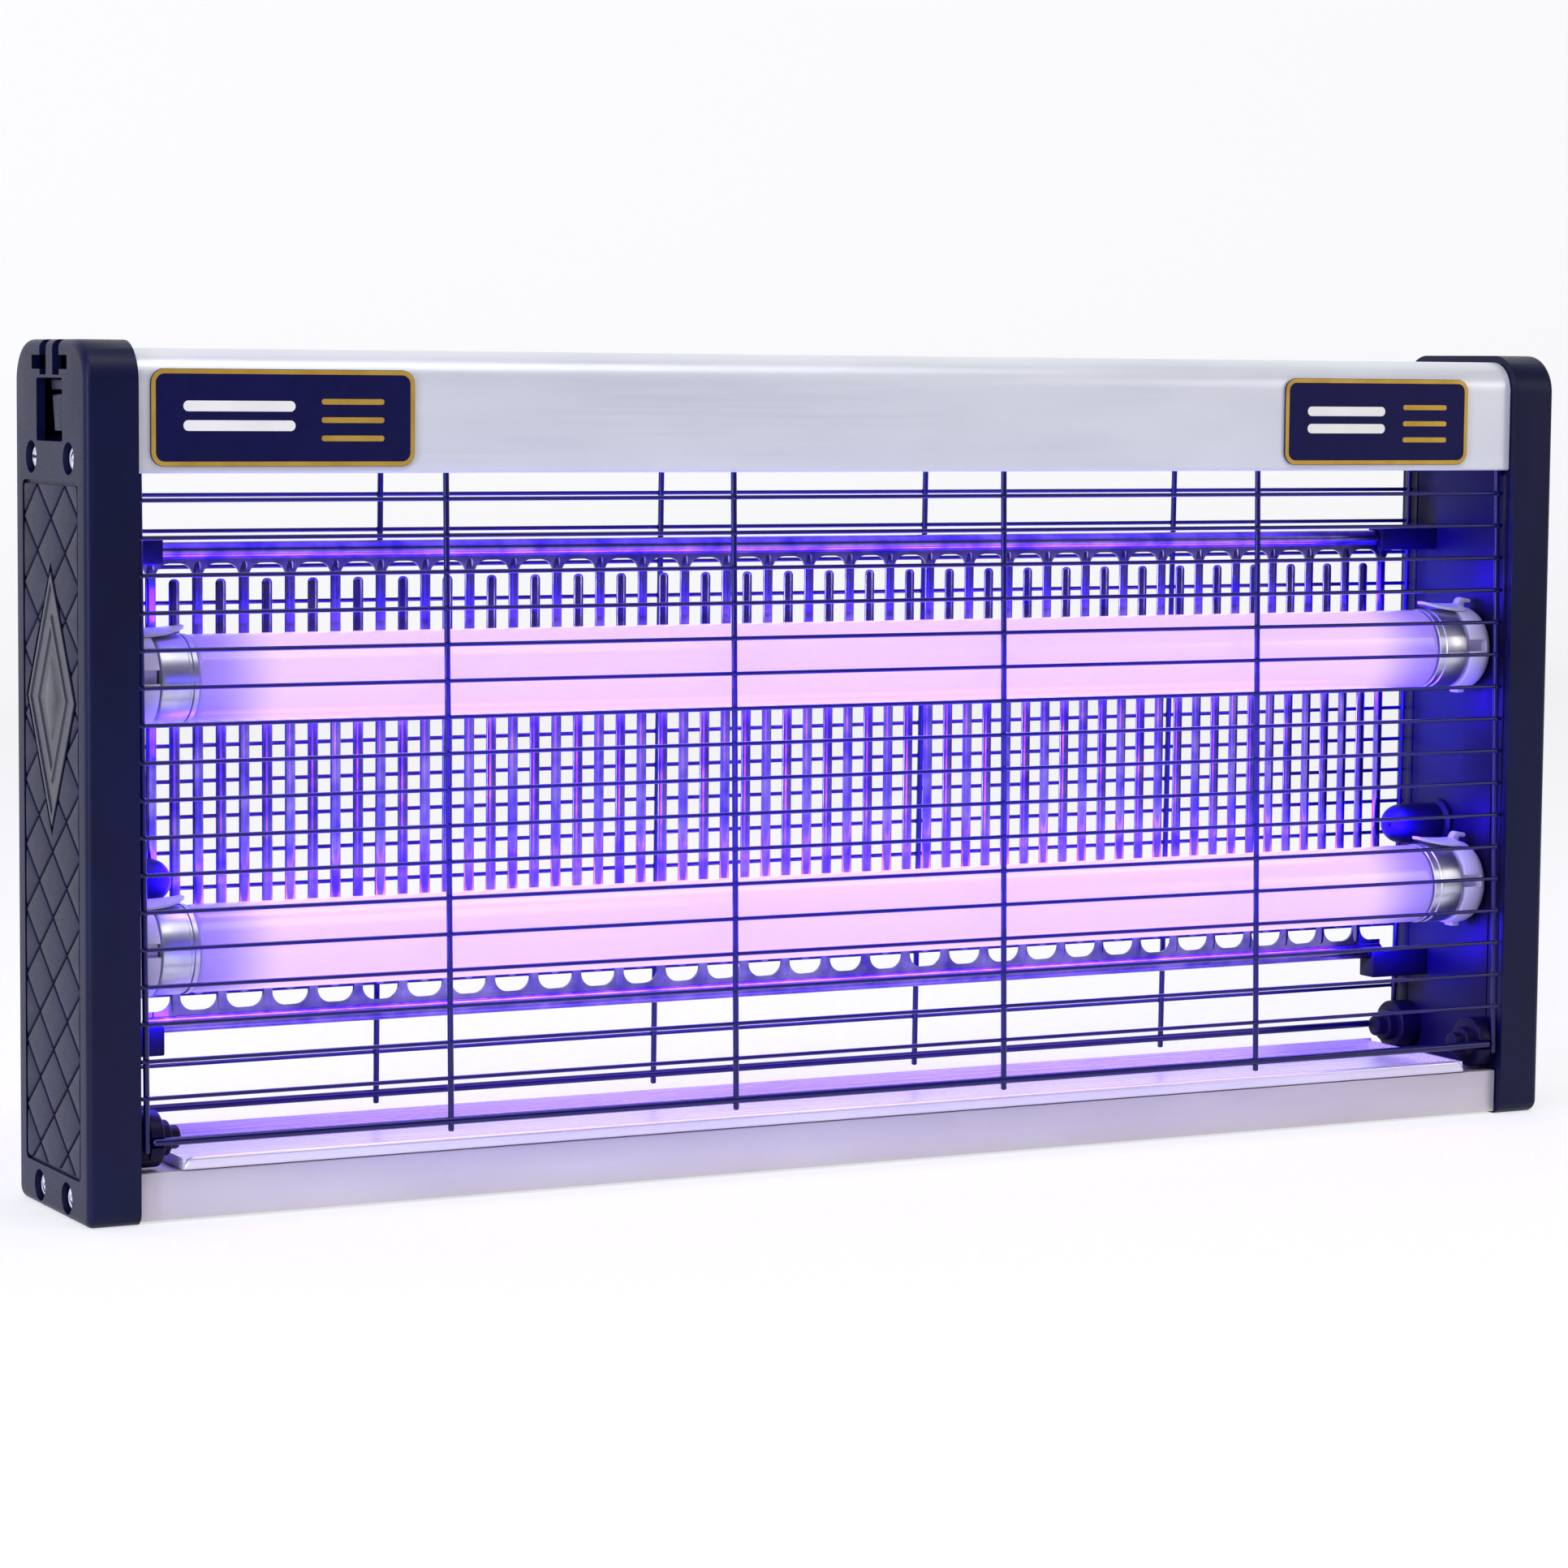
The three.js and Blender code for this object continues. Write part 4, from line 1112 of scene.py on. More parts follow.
        combine(item, prism("room", room, Axis.X, self.floor_x - 1, self.outer_x + 2), "DIFFERENCE")
        return item

    def badge(self) -> bpy.types.Object:
        """Build the badge: a plain stepped diamond with a raised rim and boss."""
        low, high = span("badge_right")
        half_y = high.y
        half_z = (high.z - low.z) / 2
        centre_z = (high.z + low.z) / 2

        def outline(inset: float) -> list[Point]:
            """Return the badge's diamond, moved in by the inset."""
            share = 1 - inset / half_y
            return [
                (0, centre_z - half_z * share),
                (half_y * share, centre_z),
                (0, centre_z + half_z * share),
                (-half_y * share, centre_z),
            ]

        face = high.x
        rings = [
            (0, low.x),
            (0, face - 0.2),
            (0.25, face),
            (1.6, face),
            (2.0, face - 0.4),
            (6.6, face - 0.4),
            (7.2, face),
            (8.6, face),
            (9.2, face - 0.4),
            (13.2, face - 0.4),
            (14.4, face - 0.02),
            (18.6, face),
        ]
        return loft(f"badge_plate_{self.side}", outline, rings, Axis.X)

    def tongue(self) -> bpy.types.Object:
        """Build the sloping latch tongue and the ledge above it, just inside the window."""
        low, _high = span("latch_tongue_right")
        centre = self.height - self.window_drop
        reach = self.window_width / 2 - 0.5
        face = self.outer_x - self.tongue_depth
        points = [(-reach, centre - 6.0), (-1.9, centre - 6.0), (2.6, centre + 4.1), (-reach, centre + 4.7)]

        def slant(point: Vector) -> Vector:
            """Let the tongue's face fall back towards its top."""
            share = max(0.0, point.x / MM - low.x) / (face - low.x)
            fall = (point.z / MM - centre + 6.0) / 10.7 * self.tongue_slope * share
            return Vector((point.x - fall * MM, point.y, point.z))

        item = loft("tongue", lambda _inset: points, [(0, low.x), (0, face)], Axis.X, slant)
        soften(item, 0.3, 3, 30)
        top = centre + self.window_height / 2 - 0.4
        ledge = block("ledge", (low.x, -reach, centre + 5.6), (self.outer_x - 2.4, 5.0, top))
        soften(ledge, 0.3, 2, 30)
        return join(f"latch_{self.side}", [item, ledge])

    def build(self) -> None:
        """Build and dress every piece of this end."""
        side = self.side
        shell = for_end(self.shell(), self.sign)
        dress(shell, FINISHES.housing, "chassis", "black_plastic", [f"end_housing_{side}"])
        tiles = for_end(self.tiles(), self.sign)
        dress(tiles, FINISHES.housing, "chassis", "black_plastic", smooth_angle=20)
        badge = for_end(self.badge(), self.sign)
        dress(badge, FINISHES.badge, "chassis", "badge_plastic", [f"badge_{side}"], 20)
        cover = node_copy(f"inner_cover_{side}", f"cover_plate_{side}", 0.15)
        dress(cover, FINISHES.inner, "chassis", "inner_plastic", [f"inner_cover_{side}"])
        tongue = for_end(self.tongue(), self.sign)
        dress(tongue, FINISHES.housing, "chassis", "inner_plastic", [f"latch_tongue_{side}"])


@dataclass
class HousingScrews:
    """The pan-head screws in the wells of both end housings."""

    head_radius: float = 3.6
    head_height: float = 4.8
    rim_height: float = 3.5
    seat_depth: float = 2.6
    shank_radius: float = 1.9
    crest_radius: float = 2.1
    thread_pitch: float = 1.4
    length: float = 21.5
    recess_width: float = 0.9
    recess_reach: float = 2.1
    recess_depth: float = 1.5

    def screw(self) -> bpy.types.Object:
        """Build one screw at the origin, head looking along +X, seated at X = 0."""
        profile: list[Point] = [(-self.length, 0), (-self.length + 0.2, 0.7), (-self.length + 2, 1.6)]
        along = -self.length + 2.4
        while along < -2.0:
            profile.append((along, 1.6))
            profile.append((along + self.thread_pitch / 2, self.crest_radius - 0.15))
            along += self.thread_pitch
        profile += [(-1.2, self.shank_radius), (0, self.shank_radius), (0, self.head_radius - 0.1)]
        profile += [(0.15, self.head_radius), (self.rim_height, self.head_radius)]
        for i in range(1, 7):
            angle = math.pi / 2 * i / 6
            radius = self.head_radius * math.cos(angle)
            rise = self.rim_height + (self.head_height - self.rim_height) * math.sin(angle)
            profile.append((rise, max(radius, 0)))
        item = turned("screw", profile, Axis.X, (0, 0), 32)
        low = self.head_height - self.recess_depth
        reach, half_width = self.recess_reach, self.recess_width / 2
        for reach_y, reach_z in ((reach, half_width), (half_width, reach)):
            cutter = block("recess", (low, -reach_y, -reach_z), (self.head_height + 1, reach_y, reach_z))
            combine(item, cutter, "DIFFERENCE")
        return item

    def build(self) -> None:
        """Place all eight screws."""
        spots = []
        nodes = []
        for side, sign in ENDS:
            for place in SCREW_PLACES:
                node = f"screw_{side}_{place}"
                low, high = span(node)
                head = high.x if sign > 0 else low.x
                seat = head - sign * self.seat_depth
                spot = Vector((seat, (low.y + high.y) / 2, (low.z + high.z) / 2))
                spots.append((spot, Vector((sign, 0, 0))))
                nodes.append(node)
        item = Fasteners.place("housing_screws", self.screw(), FINISHES.zinc, spots, 7)
        dress(item, FINISHES.zinc, "chassis", "screw_steel", nodes)


# ---- Panels -----------------------------------------------------------------------
@dataclass
class Panels:
    """The sheet top panel, base panel, chassis plate and tray."""

    top_radius: float = 9.5
    wall: float = 1.5
    hem_height: float = 1.2
    hem_width: float = 2.2
    gland_room: float = 6.3
    lip_radius: float = 1.1
    lip_corner: float = 3.0
    lip_thickness: float = 2.4

    def top_outline(self) -> list[Point]:
        """Return the cross-section of the top panel in Y and Z."""
        low, high = span("top_panel")
        y, z0, z1, r, w = high.y, low.z, high.z, self.top_radius, self.wall
        hem_top = z0 + self.hem_height
        hem = y - self.hem_width
        points = [(hem, z0 + 0.4), (hem + 0.4, z0), (y - 0.5, z0), (y, z0 + 0.5)]
        points += arc((y - r, z1 - r), r, 0, 90, 16)
        points += arc((-y + r, z1 - r), r, 90, 180, 16)
        points += [(-y, z0 + 0.5), (-y + 0.5, z0), (-hem - 0.4, z0), (-hem, z0 + 0.4)]
        points += [(-y + self.hem_width, hem_top), (-y + w, hem_top)]
        points += arc((-y + r, z1 - r), r - w, 180, 90, 16)
        points += arc((y - r, z1 - r), r - w, 90, 0, 16)
        points += [(y - w, hem_top), (y - self.hem_width, hem_top)]
        return points

    def top(self) -> bpy.types.Object:
        """Build the top panel with the hole for the cable gland."""
        low, high = span("top_panel")
        item = prism("top_cover", self.top_outline(), Axis.X, low.x, high.x)
        gland_low, gland_high = span("cable_gland")
        centre = ((gland_low.x + gland_high.x) / 2, (gland_low.z + gland_high.z) / 2)
        profile = [(10, 0), (10, self.gland_room), (40, self.gland_room), (40, 0)]
        return combine(item, turned("hole", profile, Axis.Y, centre), "DIFFERENCE")

    def tray(self) -> bpy.types.Object:
        """Build the tray: a folded floor with walls, and a rolled lip along the front."""
        low, high = span("insect_tray")
        lip_back = low.y + self.lip_thickness
        lip_top = low.z + 3.8
        outline = rounded_box((low.y, low.z), (lip_back, lip_top), (self.lip_radius,) * 4, 6)

        def slant(point: Vector) -> Vector:
            """Round the lip's two upper corners off."""
            share = (point.z / MM - low.z) / (lip_top - low.z)
            shift = self.lip_corner * share * share * MM
            return Vector((point.x - math.copysign(shift, point.x), point.y, point.z))

        rings = [(0.3, low.x), (0, low.x + 0.4), (0, high.x - 0.4), (0.3, high.x)]
        lip = loft("lip", outline, rings, Axis.X, slant)
        floor = block("floor", (low.x + 0.6, lip_back - 1.2, low.z), (high.x - 0.6, high.y, low.z + 1))
        walls = [
            block("back", (low.x, high.y - 1, low.z), (high.x, high.y, high.z)),
            block("left", (low.x, lip_back - 1.2, low.z), (low.x + 1, high.y, low.z + 3.4)),
            block("right", (high.x - 1, lip_back - 1.2, low.z), (high.x, high.y, low.z + 3.4)),
        ]
        for wall in walls:
            combine(floor, wall, "UNION")
        soften(floor, 0.35, 3)
        return join("tray_pan", [floor, lip])

    def build(self) -> None:
        """Build and dress the panels and the tray."""
        dress(self.top(), FINISHES.top, "chassis", "top_sheet", ["top_panel"])
        base = node_copy("base_panel", "base_channel", 0.45, 3)
        dress(base, FINISHES.base, "chassis", "base_sheet", ["base_panel"])
        plate = node_copy("chassis_plate", "chassis_sheet", 0.25)
        dress(plate, FINISHES.mill, "chassis", "chassis_sheet", ["chassis_plate"])
        dress(self.tray(), FINISHES.tray, "tray", "tray_sheet", ["insect_tray"])


@dataclass
class LabelPlate:
    """A navy label plate with a gold border and a plain graphic, without lettering."""

    node: str
    radius: float = 4.0
    border_inset: float = 0.12
    border_width: float = 1.3
    ink: float = 0.06
    bars: int = 3

    def build(self) -> None:
        """Build the plate, its border and its graphic."""
        low, high = span(self.node)
        face = low.y
        outline = rounded_box((low.x, low.z), (high.x, high.z), (self.radius,) * 4, 8)
        plate = loft(f"{self.node}_plate", outline, [(0, high.y), (0, face + 0.15), (0.15, face)], Axis.Y)
        dress(plate, FINISHES.film, "chassis", "label", [self.node])
        inner = self.border_inset + self.border_width
        rings = [
            (inner, face + 0.02),
            (self.border_inset, face + 0.02),
            (self.border_inset, face - self.ink),
            (inner, face - self.ink),
        ]
        loops = [[Axis.Y.place(along, a, b) for a, b in outline(inset)] for inset, along in rings]
        dress(hoop(f"{self.node}_border", loops), FINISHES.gold, "chassis", "label")
        dress(self.graphic(low, high, face), FINISHES.pale, "chassis", "label")
        dress(self.stripes(low, high, face), FINISHES.gold, "chassis", "label")

    def graphic(self, low: Vector, high: Vector, face: float) -> bpy.types.Object:
        """Build two plain rounded bars, side by side, as lamps are drawn on a plan."""
        width = high.x - low.x
        items = []
        for row in (0, 1):
            z = low.z + (high.z - low.z) * (0.62 - 0.2 * row)
            start = low.x + width * 0.12
            end = start + width * 0.42
            outline = rounded_box((start, z - 1.5), (end, z + 1.5), (1.45,) * 4, 6)
            items.append(loft("bar", outline, [(0, face + 0.02), (0, face - self.ink)], Axis.Y))
        return join(f"{self.node}_bars", items)

    def stripes(self, low: Vector, high: Vector, face: float) -> bpy.types.Object:
        """Build a stack of plain gold stripes."""
        width = high.x - low.x
        start = low.x + width * 0.64
        outline = rounded_box((start, low.z + 7.2), (start + width * 0.24, low.z + 8.8), (0.7,) * 4, 4)
        item = loft(f"{self.node}_stripes", outline, [(0, face + 0.02), (0, face - self.ink)], Axis.Y)
        return Copies.of(item, FINISHES.gold, (self.bars, Vector((0, 0, 5.2))))


# ---- Wire guards ------------------------------------------------------------------
@dataclass
class WireGuard:
    """A welded wire guard that hangs from two pivot pins."""

    body: str
    sign: int
    joint: str
    hem_inset: float
    thin_radius: float = 0.62
    upright_radius: float = 0.9
    hem_radius: float = 1.2
    rows: int = 17
    row_pitch: float = 10.56
    first_row_drop: float = 7.0
    uprights: int = 6
    wall_x: float = 236.4
    upright_inset: float = 2.2
    row_end_gap: float = 0.4
    hem_end_gap: float = 3.9
    pin_reach: float = 1.8
    hem_height: float = 23.5
    foot_height: float = 20.4
    half_depth: float = 31.0

    def rod(
        self, name: str, radius: float, axis: Axis, start: float, end: float, at: Point
    ) -> bpy.types.Object:
        """Build one round wire with slightly rounded ends."""
        ease = radius * 0.35
        profile = [(start, 0), (start, radius - ease), (start + ease, radius)]
        profile += [(end - ease, radius), (end, radius - ease), (end, 0)]
        return turned(name, profile, axis, at, 12)

    def weld(self) -> bpy.types.Object:
        """Build one weld: the small flattened bead where two wires cross."""
        steps = 4
        profile: list[Point] = [(-0.9, 0)]
        for i in range(1, steps):
            angle = math.pi * i / steps
            profile.append((-0.9 * math.cos(angle), 1.15 * math.sin(angle)))
        profile.append((0.9, 0))
        return turned("weld", profile, Axis.Y, (0, 0), 8)

    def build(self) -> None:
        """Build the wires in the guard's own plane, lean it and put it on its pivot."""
        pivot = Vector(JOINTS[self.joint]["pos_m"]) / MM
        upright_x = self.wall_x - self.upright_inset
        bay = 2 * upright_x / (self.uprights - 1)
        reach = self.wall_x - self.row_end_gap
        proud = self.upright_radius * 0.72
        step_down = Vector((0, 0, -self.row_pitch))
        rows = self.rod("rows", self.thin_radius, Axis.X, -reach, reach, (proud, -self.first_row_drop))
        Copies.of(rows, FINISHES.wire, (self.rows, step_down))
        foot = self.foot_height - pivot.z
        thick = self.upright_radius
        uprights = self.rod("uprights", thick, Axis.Z, foot, thick, (-upright_x, 0))
        Copies.of(uprights, FINISHES.wire, (self.uprights, Vector((bay, 0, 0))))
        welds = self.weld()
        corner = Vector((-upright_x, proud * 0.8, -self.first_row_drop))
        welds.data.transform(Matrix.Translation(corner * MM))
        Copies.of(welds, FINISHES.wire, (self.rows, step_down), (self.uprights, Vector((bay, 0, 0))))
        hem_z = self.hem_height - pivot.z
        hem_reach = self.wall_x - self.hem_end_gap
        hem = self.rod("hem", self.hem_radius, Axis.X, -hem_reach, hem_reach, (0, hem_z))
        pins = []
        for _side, sign in ENDS:
            ends = sorted((sign * upright_x, sign * (self.wall_x + self.pin_reach)))
            pins.append(self.rod("pin", self.upright_radius * 0.95, Axis.X, ends[0], ends[1], (0, 0)))
        item = join(f"{self.body}_wires", [rows, uprights, welds, hem, *pins])
        if self.sign < 0:
            mirrored(item, Axis.Y)
        top_inset = self.half_depth - abs(pivot.y)
        lean = math.atan2(top_inset - self.hem_inset, pivot.z - self.hem_height)
        item.data.transform(Matrix.Rotation(self.sign * lean, 4, "X"))
        item.data.transform(Matrix.Translation(pivot * MM))
        dress(item, FINISHES.wire, self.body, "guard_wire", [self.body], 40)


@dataclass
class GuardClip:
    """A stepped clip that the hem wire of a guard snaps into."""

    side: str
    face: str
    wall_x: float = 236.1
    radii: Sequence[float] = (8.2, 5.2, 3.4)
    reaches: Sequence[float] = (7.4, 10.6, 13.8)
    fillet: float = 0.9
    hem_height: float = 23.5
    upright_room: float = 232.9
    axis_y: float = 22.0
    half_depth: float = 31.0
    wire_room: float = 1.6

    def build(self, sign: int, hem_inset: float) -> None:
        """Build the clip for its corner.

        Args:
            sign: -1 for the left-hand end, 1 for the right-hand one.
            hem_inset: how far the guard's hem stands inside the appliance's face.
        """
        node = f"clip_{self.side}_{self.face}"
        profile: list[Point] = [(self.wall_x, 0), (self.wall_x, self.radii[0])]
        for index, (radius, reach) in enumerate(zip(self.radii, self.reaches)):
            end = self.wall_x - reach
            for drop, inset in quarter(4):
                profile.append((end + self.fillet * drop, radius - self.fillet * inset))
            if index + 1 < len(self.radii):
                profile.append((end, self.radii[index + 1]))
        profile.append((self.wall_x - self.reaches[-1], 0))
        item = turned(f"{node}_body", profile, Axis.X, (self.axis_y, self.hem_height), 40)
        room, z = self.wire_room, self.hem_height
        wire_y = self.half_depth - hem_inset - room
        groove = block("groove", (200, wire_y, z - room), (260, 60, z + room))
        combine(item, groove, "DIFFERENCE")
        notch = block("notch", (self.upright_room, wire_y, 0), (260, 60, 100))
        combine(item, notch, "DIFFERENCE")
        soften(item, 0.2, 2, 40)
        if self.face == "front":
            mirrored(item, Axis.Y)
        dress(for_end(item, sign), FINISHES.inner, "chassis", "black_plastic", [node])


# ---- High-voltage grid ------------------------------------------------------------
@dataclass
class GridComb:
    """One comb of the high-voltage grid: rolled rail, arches and rounded teeth."""

    node: str
    teeth: int
    upper: bool
    pitch: float = 14.44
    tooth_width: float = 3.3
    plate: float = 0.9
    thickness: float = 1.6
    rail_radius: float = 2.5
    rail_offset: float = 3.8
    root_radius: float = 4.2
    rail_end: float = 219.0

    def cell(self, tooth_length: float) -> bpy.types.Object:
        """Build the plate of one tooth with half an arch on each side, open at both sides."""
        half = self.tooth_width / 2 - 0.25
        root = self.rail_offset
        tip = root + tooth_length - 0.6
        r = self.root_radius
        side = self.pitch / 2
        points: list[Point] = [(-side, 0), (side, 0), (side, root)]
        points += arc((half + r, root + r), r, 270, 180, 8)
        points += arc((0, tip - half), half, 0, 180, 8)
        points += arc((-half - r, root + r), r, 0, -90, 8)
        points.append((-side, root))
        shape = bmesh.new()
        front = [shape.verts.new(Vector((x, -self.plate / 2, z)) * MM) for x, z in points]
        back = [shape.verts.new(Vector((x, self.plate / 2, z)) * MM) for x, z in points]
        shape.faces.new(front)
        shape.faces.new(list(reversed(back)))
        count = len(points)
        for i in range(count):
            j = (i + 1) % count
            on_side = abs(abs(points[i][0]) - side) < 1e-6 and abs(points[i][0] - points[j][0]) < 1e-6
            if not on_side:
                shape.faces.new((front[j], front[i], back[i], back[j]))
        return from_bmesh("cell", shape)

    def tooth(self, tooth_length: float) -> bpy.types.Object:
        """Build the rounded bar of one tooth: an ellipse in section with domed ends."""
        start = self.rail_offset - 1.0
        end = self.rail_offset + tooth_length
        ratio = self.thickness / self.tooth_width
        radius = self.tooth_width / 2
        profile = [(start, 0), (start + 0.05, radius * 0.4)]
        profile += [(start + 1.2, radius * 0.85), (start + 3.2, radius)]
        profile += [(end - 1.2, radius), (end - 0.5, radius * 0.82), (end - 0.1, radius * 0.45), (end, 0)]
        item = turned("tooth", profile, Axis.Z, (0, 0), 14)
        item.data.transform(Matrix.Diagonal((1, ratio, 1, 1)))
        return item

    def build(self) -> None:
        """Build the comb, teeth up, then turn and place it."""
        low, high = span(self.node)
        tooth_length = high.z - low.z - self.rail_radius - self.rail_offset
        first = -(self.teeth - 1) / 2 * self.pitch
        shift = Matrix.Translation(Vector((first, 0, 0)) * MM)
        parts = []
        for piece in (self.cell(tooth_length), self.tooth(tooth_length)):
            piece.data.transform(shift)
            parts.append(Copies.of(piece, FINISHES.grid, (self.teeth, Vector((self.pitch, 0, 0)))))
        weld = bmesh.new()
        weld.from_mesh(parts[0].data)
        bmesh.ops.remove_doubles(weld, verts=weld.verts, dist=1e-6)
        bmesh.ops.holes_fill(weld, edges=[edge for edge in weld.edges if edge.is_boundary], sides=8)
        weld.to_mesh(parts[0].data)
        weld.free()
        end = self.rail_end
        r = self.rail_radius
        profile = [(-end, 0), (-end, r - 0.9), (-end, r - 0.3), (-end + 0.3, r)]
        profile += [(end - 0.3, r), (end, r - 0.3), (end, r - 0.9), (end, 0)]
        parts.append(turned("rail", profile, Axis.X, (0, 0), 28))
        reach = abs(first) + self.pitch / 2
        half = self.plate / 2
        for start in (-end, reach - 0.4):
            tab_end = -reach + 0.4 if start < 0 else end
            parts.append(block("tab", (start, -half, 0), (tab_end, half, self.rail_offset)))
        item = join(f"{self.node}_strip", parts)
        rail_z = high.z - r if self.upper else low.z + r
        if self.upper:
            item.data.transform(Matrix.Rotation(math.pi, 4, "Y"))
        item.data.transform(Matrix.Translation(Vector((0, (low.y + high.y) / 2, rail_z)) * MM))
        dress(item, FINISHES.grid, "chassis", "grid_metal", [self.node], 40)


@dataclass
class GridMounts:
    """The sockets, cradles and domed insulators that hold and feed the grid."""

    collar: float = 1.4

    def insulator(self, side: str, sign: int) -> None:
        """Build one domed insulator with a collar where it meets the wall."""
        node = f"feed_insulator_{side}"
        low, high = span("feed_insulator_right")
        radius = (high.y - low.y) / 2
        centre = ((low.y + high.y) / 2, (low.z + high.z) / 2)
        wall, tip = high.x, low.x
        profile: list[Point] = [(wall, 0), (wall, radius + self.collar), (wall - 1.0, radius + self.collar)]
        profile += [(wall - 1.5, radius + 0.5), (wall - 2.2, radius)]
        for drop, inset in quarter(12)[:-1]:
            profile.append((tip + radius * drop, radius * (1 - inset)))
        profile.append((tip, 0))
        item = turned(f"{node}_dome", profile, Axis.X, centre, 48)
        dress(for_end(item, sign), FINISHES.inner, "chassis", "inner_plastic", [node])

    def build(self) -> None:
        """Build the mounts of both ends."""
        for side, sign in ENDS:
            self.insulator(side, sign)
            for kind in ("grid_socket", "grid_cradle"):
                node = f"{kind}_{side}"
                item = node_copy(node, f"{node}_body", 0.55, 3)
                dress(item, FINISHES.inner, "chassis", "inner_plastic", [node])


# ---- Lamps ------------------------------------------------------------------------
@dataclass
class Lamp:
    """A tube lamp with its caps and pins, its rotors and its two lampholders."""

    level: str
    shoulder: float = 2.6
    neck: float = 0.9
    bead: float = 0.35
    cap_length: float = 11.7
    pin_radius: float = 1.15
    pin_spacing: float = 12.7
    rotor_slot: float = 1.45
    back_round: float = 4.2
    visor_reach: float = 11.0
    lug_rise: float = 2.4
    heel_drop: float = 1.2

    def __post_init__(self) -> None:
        """Read the lamp's axis and sizes from the frame."""
        low, high = span(f"lamp_glass_{self.level}")
        self.glass_end = high.x
        self.radius = (high.z - low.z) / 2
        self.axis_at = ((low.y + high.y) / 2, (low.z + high.z) / 2)
        self.body = f"{self.level}_lamp"

    def glass(self) -> None:
        """Build the glass tube with its rounded shoulders."""
        half: list[Point] = []
        for drop, inset in quarter(8):
            half.append((self.glass_end - self.shoulder * drop, self.radius - self.neck * inset))
        mirrored = [(-x, r) for x, r in reversed(half)]
        profile = [(-self.glass_end, 0)] + mirrored + half + [(self.glass_end, 0)]
        item = turned(f"tube_{self.level}", profile, Axis.X, self.axis_at, 64)
        dress(item, FINISHES.lamp, self.body, "lamp_glass", [f"lamp_glass_{self.level}"])

    def cap(self, side: str, sign: int) -> None:
        """Build one metal cap: rolled rim, crimped bead, end plate and pins."""
        node = f"lamp_cap_{self.level}_{side}"
        low, high = span(f"lamp_cap_{self.level}_right")
        radius = (high.z - low.z) / 2
        face = low.x + self.cap_length
        start = low.x
        profile: list[Point] = [(start, 0), (start, radius - 0.3)]
        profile += [(start + 0.3, radius), (start + 1.6, radius)]
        waist = radius - self.bead
        profile += [(start + 1.9, waist), (start + 2.6, waist), (start + 2.9, radius)]
        profile += [(face - 1.2, radius), (face - 0.5, radius - 0.25)]
        profile += [(face - 0.1, radius - 0.9), (face, radius - 1.6)]
        profile += [(face, radius - 3.2), (face - 0.4, radius - 3.6), (face - 0.4, 0)]
        items = [turned("shell", profile, Axis.X, self.axis_at, 64)]
        for step in (-1, 1):
            at = (self.axis_at[0], self.axis_at[1] + step * self.pin_spacing / 2)
            tip = high.x
            pin: list[Point] = [(face - 1.5, 0), (face - 1.5, self.pin_radius), (tip - 0.7, self.pin_radius)]
            pin += [(tip - 0.25, self.pin_radius * 0.8), (tip, self.pin_radius * 0.4), (tip, 0)]
            items.append(turned("pin", pin, Axis.X, at, 20))
            collar: list[Point] = [(face - 1.0, 0), (face - 1.0, 2.0), (face + 0.05, 2.0)]
            collar += [(face + 0.2, 1.8), (face + 0.2, 0)]
            items.append(turned("collar", collar, Axis.X, at, 24))
        item = join(f"{node}_shell", items)
        dress(for_end(item, sign), FINISHES.cap, self.body, "cap_metal", [node])

    def holder(self, side: str, sign: int) -> None:
        """Build one lampholder: cup, rotor recess, sight window, visor and lugs."""
        node = f"lampholder_{self.level}_{side}"
        low, high = span(f"lampholder_{self.level}_right")
        y, z = self.axis_at
        radius = z - low.z
        face, back = low.x, high.x
        profile: list[Point] = [(face, 0), (face, radius - 0.5)]
        profile += [(face + 0.15, radius - 0.15), (face + 0.5, radius)]
        for drop, inset in quarter(8):
            along = back - self.back_round * drop
            profile.append((along, radius - self.back_round * 0.8 * inset))
        profile.append((back, 0))
        item = turned(f"{node}_cup", profile, Axis.X, self.axis_at, 72)
        rotor_low, rotor_high = span(f"lamp_rotor_{self.level}_right")
        room = (rotor_high.z - rotor_low.z) / 2 + 0.4
        depth = rotor_high.x + 0.4
        recess: list[Point] = [(face - 2, 0), (face - 2, room + 0.6)]
        recess += [(face + 0.1, room + 0.6), (face + 0.6, room)]
        recess += [(depth, room), (depth, 0)]
        combine(item, turned("recess", recess, Axis.X, self.axis_at, 56), "DIFFERENCE")
        front = y - radius
        window = block("window", (face - 1, front - 1, z - 0.5), (face + 6.2, front + 3.4, z + 3.5))
        combine(item, window, "DIFFERENCE")
        top = z + radius
        lugs = [
            self.visor(face, top),
            self.hook(face, top, high.z + self.lug_rise),
            block(
                "heel",
                (face + 2.6, y - 2.2, z - radius - self.heel_drop),
                (face + 5.8, y + 2.2, z - radius + 1.5),
            ),
        ]
        for lug in lugs[1:]:
            soften(lug, 0.55, 3, 30)
        item = join(f"{node}_body", [soften(item, 0.2, 2, 40), *lugs])
        dress(for_end(item, sign), FINISHES.white, "chassis", "white_plastic", [node])

    def visor(self, face: float, top: float) -> bpy.types.Object:
        """Build the thin curved tongue that reaches from the cup over the lamp cap."""
        y, z = self.axis_at
        inner = top - z + 0.25
        thickness = 0.9
        half = 26.0
        steps = 14

        def outline(inset: float) -> list[Point]:
            """Return the tongue's section, narrowed by a share."""
            width = half * (1 - inset)
            outer = arc((y, z + inset * 1.2), inner + thickness, 90 - width, 90 + width, steps)
            return outer + arc((y, z + inset * 1.2), inner, 90 + width, 90 - width, steps)

